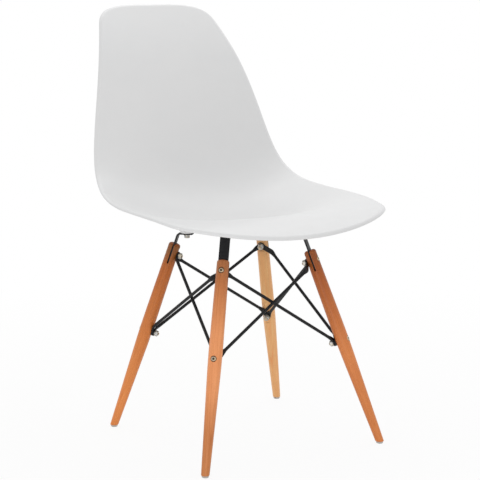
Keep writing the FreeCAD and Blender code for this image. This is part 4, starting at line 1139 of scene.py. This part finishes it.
def growth_rings(finish, place, number, seed, spacing):
    """How late in its year the wood is, and a value that each year has of its own.

    The rings are a wave of the distance from a pith that lies beside the leg, warped slowly along it.
    """
    pith_reach = 0.034
    warp = finish.add("ShaderNodeTexNoise")
    slow = finish.stretch(place, (14.0, 14.0, 3.2), (seed * 5, seed * 3, seed * 7))
    finish.feed(warp, {"Vector": slow, "Scale": 1.0, "Detail": 2.0})
    drift = finish.vector("SUBTRACT", warp.outputs["Color"], grey(0.5))
    drift = finish.vector("MULTIPLY", drift, (0.012, 0.012, 0.0))
    # Each leg is cut from another part of its tree, so its pith lies on another side
    around = math.radians(38 + 71 * number)
    pith = (pith_reach * math.cos(around), pith_reach * math.sin(around), 0.0)
    flat = finish.vector("MULTIPLY", finish.vector("ADD", place, drift), (1.0, 1.0, 0.02))
    distance = finish.vector("LENGTH", finish.vector("ADD", flat, pith))
    phase = finish.maths("MULTIPLY", distance, 1.0 / (spacing * MM))
    saw = finish.maths("FRACT", phase)
    late = finish.maths("POWER", saw, 2.4)
    early_edge = finish.span(saw, 0.0, 0.10, 1.0, 0.0)
    year = finish.noise(finish.maths("FLOOR", phase), 0.73, 0.0)
    return finish.maths("MAXIMUM", late, early_edge), year


def stained_and_shaded(finish, place, colour, stain_and_shade, depth, dull_and_shaded, foot):
    """A colour with staining and painted shade from the shell on a leg's upper part, its top darkened and
    desaturated by painted shade under the seat and end-grain staining, and its darker foot.
    """
    node = finish.add("ShaderNodeSeparateXYZ")
    finish.feed(node, {0: place})
    height = node.outputs[2]
    # Staining with painted shade from the shell on the upper part, painted shade and end-grain staining at
    # the top, and a darker foot
    zones = (
        (finish.span(height, -depth, -0.04, 0.0, stain_and_shade), (0.57, 0.42, 0.21)),
        (finish.span(height, -0.048, -0.016, 0.0, dull_and_shaded), (0.46, 0.64, 1.0)),
        (finish.span(height, -0.32, -0.24, 1.0, 0.0), (foot, foot ** 1.3, foot ** 2)),
    )
    for share, tone in zones:
        colour = finish.blend(share, colour, tone, "MULTIPLY")
    return colour


def wood_finish(settings, leg, number, tint, *stains_and_shade):
    """Stained beech under satin lacquer.

    Growth rings have fibres over them, which are noise drawn out along the leg, with short dark rays. The end
    grain, where the surface faces along the leg, drinks more of the staining.
    """
    finish = Finish("lacquered_wood_" + leg.name)
    turn = Matrix(leg.axes.T.tolist()).to_euler()
    place = finish.place(tuple(leg.top * MM), tuple(turn))
    seed = 0.37 * number
    ring, year = growth_rings(finish, place, number, seed, settings.ring)
    fibre = finish.noise(finish.stretch(place, (1500.0, 1500.0, 26.0), (seed * 40, 0, 0)), 1.0, 4.0, 0.62)
    bands = finish.noise(finish.stretch(place, (260.0, 260.0, 5.0), (0, seed * 30, 0)), 1.0, 3.0, 0.55)
    rays = finish.noise(finish.stretch(place, (2600.0, 2600.0, 420.0), (0, 0, seed * 90)), 1.0, 1.0, 0.4)
    rays = finish.span(rays, 0.60, 0.74, 0.0, 1.0)
    cloud = finish.noise(finish.stretch(place, (30.0, 30.0, 9.0), (seed * 11, seed * 13, 0)), 1.0, 3.0, 0.5)
    pale, dark = tinted(settings.pale, tint), tinted(settings.dark, tint)
    share = finish.maths("MULTIPLY", ring, finish.span(year, 0.3, 0.7, 0.25, 0.60))
    share = finish.maths("ADD", share, finish.span(bands, 0.32, 0.70, -0.10, 0.34), clamp=True)
    colour = finish.blend(share, pale, dark)
    colour = finish.blend(finish.span(fibre, 0.30, 0.72, 0.0, 0.34), colour, tinted(dark, grey(0.62)))
    colour = finish.blend(finish.span(cloud, 0.35, 0.70, 0.0, 0.30), colour, tinted(pale, (1.04, 1.14, 1.2)))
    colour = finish.blend(finish.maths("MULTIPLY", rays, 0.42), colour, tinted(dark, grey(0.42)))
    # Staining and painted shade from the shell darken the upper part and the top of the leg
    colour = stained_and_shaded(finish, place, colour, *stains_and_shade)
    facing = finish.add("ShaderNodeNewGeometry").outputs["Normal"]
    end = finish.maths("ABSOLUTE", finish.vector("DOT_PRODUCT", facing, tuple(leg.up)))
    end = finish.span(end, 0.45, 0.95, 0.0, 0.75)
    colour = finish.blend(end, colour, tinted(dark, (0.62, 0.50, 0.42)))
    # Painted shade darkens the slot, the counterbores and the other hollows of the wood
    colour = finish.blend(finish.hollow_shade(0.006, 0.45, 0.90), colour, tinted(dark, grey(0.20)))
    rough = finish.span(fibre, 0.3, 0.7, 0.38, 0.50)
    rough = finish.maths("ADD", rough, finish.maths("MULTIPLY", end, 0.18))
    normal = finish.bump(fibre, 0.22, 0.00012)
    normal = finish.bump(finish.maths("SUBTRACT", 1.0, rays), 0.30, 0.00010, normal)
    return finish.set(Base_Color=colour, Roughness=rough, Normal=normal, Coat_Weight=0.08,
                      Coat_Roughness=0.26, Specular_IOR_Level=0.34, IOR=1.5)


def coat_finish(settings):
    """Black powder coat: a low orange-peel ripple, a sparkle of finer grain and rubbed places that
    are a little paler."""
    finish = Finish("black_powder_coat")
    place = finish.place()
    peel = finish.noise(place, 620.0, 2.0, 0.45)
    grain = finish.noise(place, 2900.0, 2.0, 0.6)
    rub = finish.noise(place, 60.0, 4.0, 0.6)
    base = tuple(settings.coat)
    colour = finish.blend(finish.span(rub, 0.45, 0.8, 0.0, 0.5), base, tinted(base, grey(2.1)))
    rough = finish.span(rub, 0.3, 0.75, 0.44, 0.60)
    normal = finish.bump(grain, 0.10, 0.00004)
    normal = finish.bump(peel, 0.24, 0.00012, normal)
    return finish.set(Base_Color=colour, Roughness=rough, Normal=normal, Specular_IOR_Level=0.28)


def plated_finish(settings, name="zinc_plating", tint=(1.0, 1.0, 1.0)):
    """Zinc plating: spangled, a little blue and yellow in places, and darkened by painted shade in sockets
    and corners.
    """
    finish = Finish(name)
    place = finish.place()
    cloud = finish.noise(place, 210.0, 3.0, 0.55)
    fine = finish.noise(place, 1700.0, 3.0, 0.6)
    base = tinted(settings.plating, tint)
    blue = tinted(base, (0.92, 0.97, 1.06))
    gold = tinted(base, (1.06, 0.98, 0.80))
    colour = finish.blend(finish.span(cloud, 0.35, 0.65, 0.0, 1.0), blue, gold)
    colour = finish.blend(finish.span(fine, 0.55, 0.8, 0.0, 0.35), colour, tinted(base, grey(0.55)))
    # Painted shade darkens sockets, bores and corners
    colour = finish.blend(finish.hollow_shade(0.005, 0.50, 0.92), colour, tinted(base, grey(0.06)))
    rough = finish.span(fine, 0.3, 0.7, 0.26, 0.42)
    normal = finish.bump(fine, 0.18, 0.00005)
    return finish.set(Base_Color=colour, Metallic=1.0, Roughness=rough, Normal=normal)


def glide_finish(settings):
    """Grey polyethylene with fine scuffs underneath."""
    finish = Finish("glide_plastic")
    place = finish.place()
    scuff = finish.noise(finish.stretch(place, (900.0, 260.0, 400.0)), 1.0, 4.0, 0.6)
    cloud = finish.noise(place, 90.0, 3.0, 0.5)
    base = tuple(settings.colour)
    colour = finish.blend(finish.span(cloud, 0.35, 0.65, 0.0, 0.5), base, tinted(base, grey(0.82)))
    colour = finish.blend(finish.span(scuff, 0.6, 0.8, 0.0, 0.5), colour, tinted(base, grey(0.6)))
    rough = finish.span(scuff, 0.3, 0.7, 0.42, 0.60)
    return finish.set(Base_Color=colour, Roughness=rough, Normal=finish.bump(scuff, 0.25, 0.00006), IOR=1.5)


# How pieces are placed
def on_bolt(leg, across, drop, facing, turn, surface):
    """A fastener on a leg's bolt, with its Z outward (facing 1) or inward (facing -1)."""
    axis = leg.across * facing
    first = leg.up * math.cos(turn) + np.cross(axis, leg.up) * math.sin(turn)
    return moved(surface, [first, np.cross(axis, first), axis], leg.point(across, 0, -drop))


def under_seat(leg, height, turn, surface):
    """A fastener upright on a seat bolt's axis, at a height over the mounting face."""
    axes = [[math.cos(turn), math.sin(turn), 0], [-math.sin(turn), math.cos(turn), 0], [0, 0, 1]]
    return moved(surface, axes, leg.seat_bolt() + [0, 0, height])


def fastener_group(node, parts, finish):
    """One piece of the identical fasteners that a construction node holds."""
    thing = object_of(node + "_plated", gathered([outward(part) for part in parts]))
    finish_piece(thing, finish, [node])


# Floor, light and camera
def white_for_viewer(tree):
    """1 on the light paths that see a white background: the camera's, and those in gloss and glass."""
    path = tree.nodes.new("ShaderNodeLightPath")
    seen = path.outputs["Is Camera Ray"]
    for kind in ("Is Glossy Ray", "Is Transmission Ray"):
        either = tree.nodes.new("ShaderNodeMath")
        either.operation = "MAXIMUM"
        tree.links.new(seen, either.inputs[0])
        tree.links.new(path.outputs[kind], either.inputs[1])
        seen = either.outputs[0]
    return seen


def soft_lamp(name, place, aim, size, power):
    """A large square lamp that looks at a point."""
    data = bpy.data.lights.new(name, "AREA")
    data.shape = "SQUARE"
    data.size = size
    data.energy = power
    lamp = bpy.data.objects.new(name, data)
    bpy.context.scene.collection.objects.link(lamp)
    lamp.location = place
    lamp.rotation_euler = (Vector(aim) - Vector(place)).to_track_quat("-Z", "Y").to_euler()
    lamp.visible_camera = False


def studio_floor():
    """Floor that keeps a soft shadow, and is white where it has none."""
    half = FLOOR_HALF
    points = np.array([[-half, -half, 0], [half, -half, 0], [half, half, 0], [-half, half, 0]])
    floor = object_of("studio_floor", (points, [np.array([[0, 1, 2, 3]])]))
    finish = Finish("pale_floor")
    finish.set(Base_Color=(*grey(FLOOR_GREY), 1.0), Roughness=0.9, Specular_IOR_Level=0.0)
    glow = finish.add("ShaderNodeEmission")
    seen = white_for_viewer(finish.tree)
    distance = finish.vector("LENGTH", finish.place())
    far = finish.span(distance, FLOOR_NEAR, FLOOR_FAR, FLOOR_WHITE, 1.0)
    mix = finish.add("ShaderNodeMixShader")
    finish.feed(mix, {0: finish.maths("MULTIPLY", seen, far)})
    finish.join(finish.shader, "BSDF", mix, 1)
    finish.join(glow, "Emission", mix, 2)
    finish.join(mix, "Shader", finish.output, "Surface")
    floor.data.materials.append(finish.material)


def white_studio(sky):
    """World that is white to the viewer and lights the chair by the surrounding light."""
    world = bpy.data.worlds.new("white_studio")
    world.use_nodes = True
    tree = world.node_tree
    background = tree.nodes["Background"]
    background.inputs["Color"].default_value = (1, 1, 1, 1)
    seen = white_for_viewer(tree)
    level = tree.nodes.new("ShaderNodeMapRange")
    level.inputs["To Min"].default_value = sky
    level.inputs["To Max"].default_value = 1.0
    tree.links.new(seen, level.inputs["Value"])
    tree.links.new(level.outputs["Result"], background.inputs["Strength"])
    return world


def aimed_camera(settings):
    """Camera at an azimuth, an elevation and a distance from what it looks at."""
    data = bpy.data.cameras.new("camera")
    data.sensor_width = SENSOR
    data.lens = settings.lens
    data.clip_end = 60.0
    camera = bpy.data.objects.new("camera", data)
    bpy.context.scene.collection.objects.link(camera)
    azimuth, elevation = settings.azimuth, settings.elevation
    level = math.cos(elevation)
    back = Vector((math.sin(azimuth) * level, -math.cos(azimuth) * level, math.sin(elevation)))
    camera.location = Vector(settings.target) + back * settings.distance
    camera.rotation_euler = back.to_track_quat("Z", "Y").to_euler()
    return camera


# Operators
class CHAIR_OT_shell(bpy.types.Operator):
    """Seat and back in one wall, with its rolled rim, bosses and ribs"""
    bl_idname = "chair.shell"
    bl_label = "Seat shell"

    def execute(self, context):
        settings = context.scene.chair_shell
        bosses = []
        for leg in LEGS:
            ribs = [("UNION", rib(leg, settings, math.radians(45 + 90 * quarter))) for quarter in range(4)]
            bosses.append(("UNION", carve("boss_" + leg.name, boss(leg, settings), ribs)))
        thing = carve("seat_shell_moulding", shell_skin(settings), bosses)
        finish_piece(thing, shell_finish(settings), ["seat_shell"], 40.0)
        return {"FINISHED"}


class CHAIR_OT_legs(bpy.types.Operator):
    """Four turned wooden legs with their slots, flats and bolt holes"""
    bl_idname = "chair.legs"
    bl_label = "Wooden legs"

    def execute(self, context):
        settings = context.scene.chair_wood
        for number, leg in enumerate(LEGS):
            thing = carve("leg_wood_" + leg.name, moved(leg_blank(leg), leg.axes, leg.top), leg_cuts(leg))
            finish = wood_finish(settings, leg, number, *STICKS[leg.name])
            finish_piece(thing, finish, ["leg_" + leg.name], 30.0)
        return {"FINISHED"}


class CHAIR_OT_brackets(bpy.types.Operator):
    """Four steel brackets that stand in the legs' slots and turn in under the seat"""
    bl_idname = "chair.brackets"
    bl_label = "Steel brackets"

    def execute(self, context):
        finish = coat_finish(context.scene.chair_steel)
        for leg in LEGS:
            seat_hole = drill(BOLT_HOLE / 2, -HOLE_REACH, HOLE_REACH, leg.seat_bolt())
            leg_hole = moved(rod(BOLT_HOLE / 2, -HOLE_REACH, HOLE_REACH, UPPER_DROP), leg.axes, leg.top)
            steps = [("DIFFERENCE", seat_hole), ("DIFFERENCE", leg_hole)]
            thing = carve("bracket_steel_" + leg.name, moved(strip(leg), leg.axes, leg.top), steps)
            finish_piece(thing, finish, ["bracket_" + leg.name])
        return {"FINISHED"}


class CHAIR_OT_braces(bpy.types.Operator):
    """Four V braces of steel wire, flattened at their bolts"""
    bl_idname = "chair.braces"
    bl_label = "Wire braces"

    def execute(self, context):
        finish = bpy.data.materials.get("black_powder_coat") or coat_finish(context.scene.chair_steel)
        for number, leg in enumerate(LEGS):
            after = LEGS[(number + 1) % 4]
            before = LEGS[number - 1]
            first = arm((leg, UPPER_DROP, 0, INNER_TAB), (after, LOWER_DROP, 1, INNER_TAB))
            second = arm((leg, UPPER_DROP, 0, OUTER_TAB), (before, LOWER_DROP, 0, OUTER_LOWER_TAB))
            steps = [("UNION", second)]
            for place, drop, layer in ((leg, UPPER_DROP, 0), (after, LOWER_DROP, 1), (before, LOWER_DROP, 0)):
                depth = blade_depth(drop, layer)
                hole = rod(BOLT_HOLE / 2, -depth - BLADE_WALL, -depth + BLADE_WALL, drop)
                steps.append(("DIFFERENCE", moved(hole, place.axes, place.top)))
            thing = carve("brace_wire_" + leg.name, first, steps)
            finish_piece(thing, finish, ["brace_" + leg.name])
        return {"FINISHED"}


class CHAIR_OT_leg_bolts(bpy.types.Operator):
    """Button-head bolts through the legs, with their washers and nuts inside"""
    bl_idname = "chair.leg_bolts"
    bl_label = "Leg bolts"

    def execute(self, context):
        steel = context.scene.chair_steel
        finish = plated_finish(steel)
        # The bolts are given a warmer tone than the nuts
        warm_plating = plated_finish(steel, "yellow_zinc", (1.22, 1.0, 0.76))
        for level, drop, count in (("upper", UPPER_DROP, 1), ("lower", LOWER_DROP, 2)):
            head = leg_radius(drop) - HEAD_SINK
            inner = -(bolt_face(drop) + count * BLADE_WALL)
            nut_face = inner - WASHER_WALL
            length = head - inner + WASHER_WALL + NUT_HEIGHT + BOLT_END
            bolts, nuts, washers = [], [], []
            for number, leg in enumerate(LEGS):
                bolt_turn, nut_turn = math.radians(17 * number), math.radians(11 + 23 * number)
                bolts.append(on_bolt(leg, head, drop, 1, bolt_turn, button_bolt(length)))
                washers.append(on_bolt(leg, inner, drop, -1, 0.0, washer()))
                nuts.append(on_bolt(leg, nut_face, drop, -1, nut_turn, nut()))
            fastener_group("%s_leg_bolts" % level, bolts, warm_plating)
            fastener_group("%s_leg_nuts" % level, nuts, finish)
            fastener_group("%s_leg_washers" % level, washers, finish)
        return {"FINISHED"}


class CHAIR_OT_seat_bolts(bpy.types.Operator):
    """Bolts, spring washers and washers under the seat, and the finish of the inserts and nails"""
    bl_idname = "chair.seat_bolts"
    bl_label = "Seat bolts"

    def execute(self, context):
        steel = context.scene.chair_steel
        finish = bpy.data.materials.get("zinc_plating") or plated_finish(steel)
        under = -STRIP_WALL - WASHER_WALL
        seat = under - SPRING_WALL
        length = STRIP_WALL + WASHER_WALL + SPRING_WALL + INSERT_LENGTH - BOLT_TIP_GAP
        washers, springs, bolts = [], [], []
        for number, leg in enumerate(LEGS):
            washers.append(under_seat(leg, under, 0.0, washer()))
            springs.append(under_seat(leg, seat, math.radians(40 * number), spring_washer()))
            bolts.append(under_seat(leg, seat, math.radians(13 * number), hex_bolt(length)))
        fastener_group("seat_flat_washers", washers, finish)
        fastener_group("seat_spring_washers", springs, finish)
        fastener_group("seat_bolts", bolts, finish)
        brass = plated_finish(steel, "turned_brass", (1.5, 1.1, 0.5))
        for node, material in (("seat_inserts", brass), ("glide_nails", finish)):
            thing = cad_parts[node]
            thing.data.materials.clear()
            thing.data.materials.append(material)
        return {"FINISHED"}


class CHAIR_OT_glides(bpy.types.Operator):
    """Plastic glides under the feet"""
    bl_idname = "chair.glides"
    bl_label = "Foot glides"

    def execute(self, context):
        finish = glide_finish(context.scene.chair_glides)
        for leg in LEGS:
            thing = object_of("foot_glide_moulding_" + leg.name,
                              outward(moved(glide(), np.eye(3), [leg.foot[0], leg.foot[1], 0.0])))
            finish_piece(thing, finish, ["foot_glide_" + leg.name])
        return {"FINISHED"}


class CHAIR_OT_stage(bpy.types.Operator):
    """Pale floor, soft light, white surroundings and the camera"""
    bl_idname = "chair.stage"
    bl_label = "Stage"

    def execute(self, context):
        settings = context.scene.chair_stage
        scene = context.scene
        scene.view_settings.view_transform = "Standard"
        studio_floor()
        scene.world = white_studio(settings.sky)
        for name, power, place, aim, side in LAMPS:
            soft_lamp(name, place, aim, side, getattr(settings, power))
        scene.camera = aimed_camera(settings)
        return {"FINISHED"}


class CHAIR_PT_pieces(bpy.types.Panel):
    """Pieces of the chair"""
    bl_label = "Shell chair"
    bl_idname = "CHAIR_PT_pieces"
    bl_space_type = "VIEW_3D"
    bl_region_type = "UI"
    bl_category = "Shell chair"

    def draw(self, context):
        column = self.layout.column()
        for operator in OPERATORS:
            column.operator(operator.bl_idname)
        for group in SETTINGS:
            for name in SETTINGS[group].__annotations__:
                column.prop(getattr(context.scene, group), name)


SETTINGS = {"chair_shell": ShellSettings, "chair_wood": WoodSettings, "chair_steel": SteelSettings,
            "chair_glides": GlideSettings, "chair_stage": StageSettings}
OPERATORS = (CHAIR_OT_stage, CHAIR_OT_shell, CHAIR_OT_legs, CHAIR_OT_brackets, CHAIR_OT_braces,
             CHAIR_OT_leg_bolts, CHAIR_OT_seat_bolts, CHAIR_OT_glides)


def register():
    for group in SETTINGS.values():
        bpy.utils.register_class(group)
    for name, group in SETTINGS.items():
        setattr(bpy.types.Scene, name, PointerProperty(type=group))
    for entry in OPERATORS + (CHAIR_PT_pieces,):
        bpy.utils.register_class(entry)


def unregister():
    for entry in reversed(OPERATORS + (CHAIR_PT_pieces,)):
        bpy.utils.unregister_class(entry)
    for name, group in SETTINGS.items():
        delattr(bpy.types.Scene, name)
        bpy.utils.unregister_class(group)


def main():
    register()
    bpy.ops.chair.stage()
    bpy.ops.chair.shell()
    bpy.ops.chair.legs()
    bpy.ops.chair.brackets()
    bpy.ops.chair.braces()
    bpy.ops.chair.leg_bolts()
    bpy.ops.chair.seat_bolts()
    bpy.ops.chair.glides()


if __name__ == "__main__":
    main()
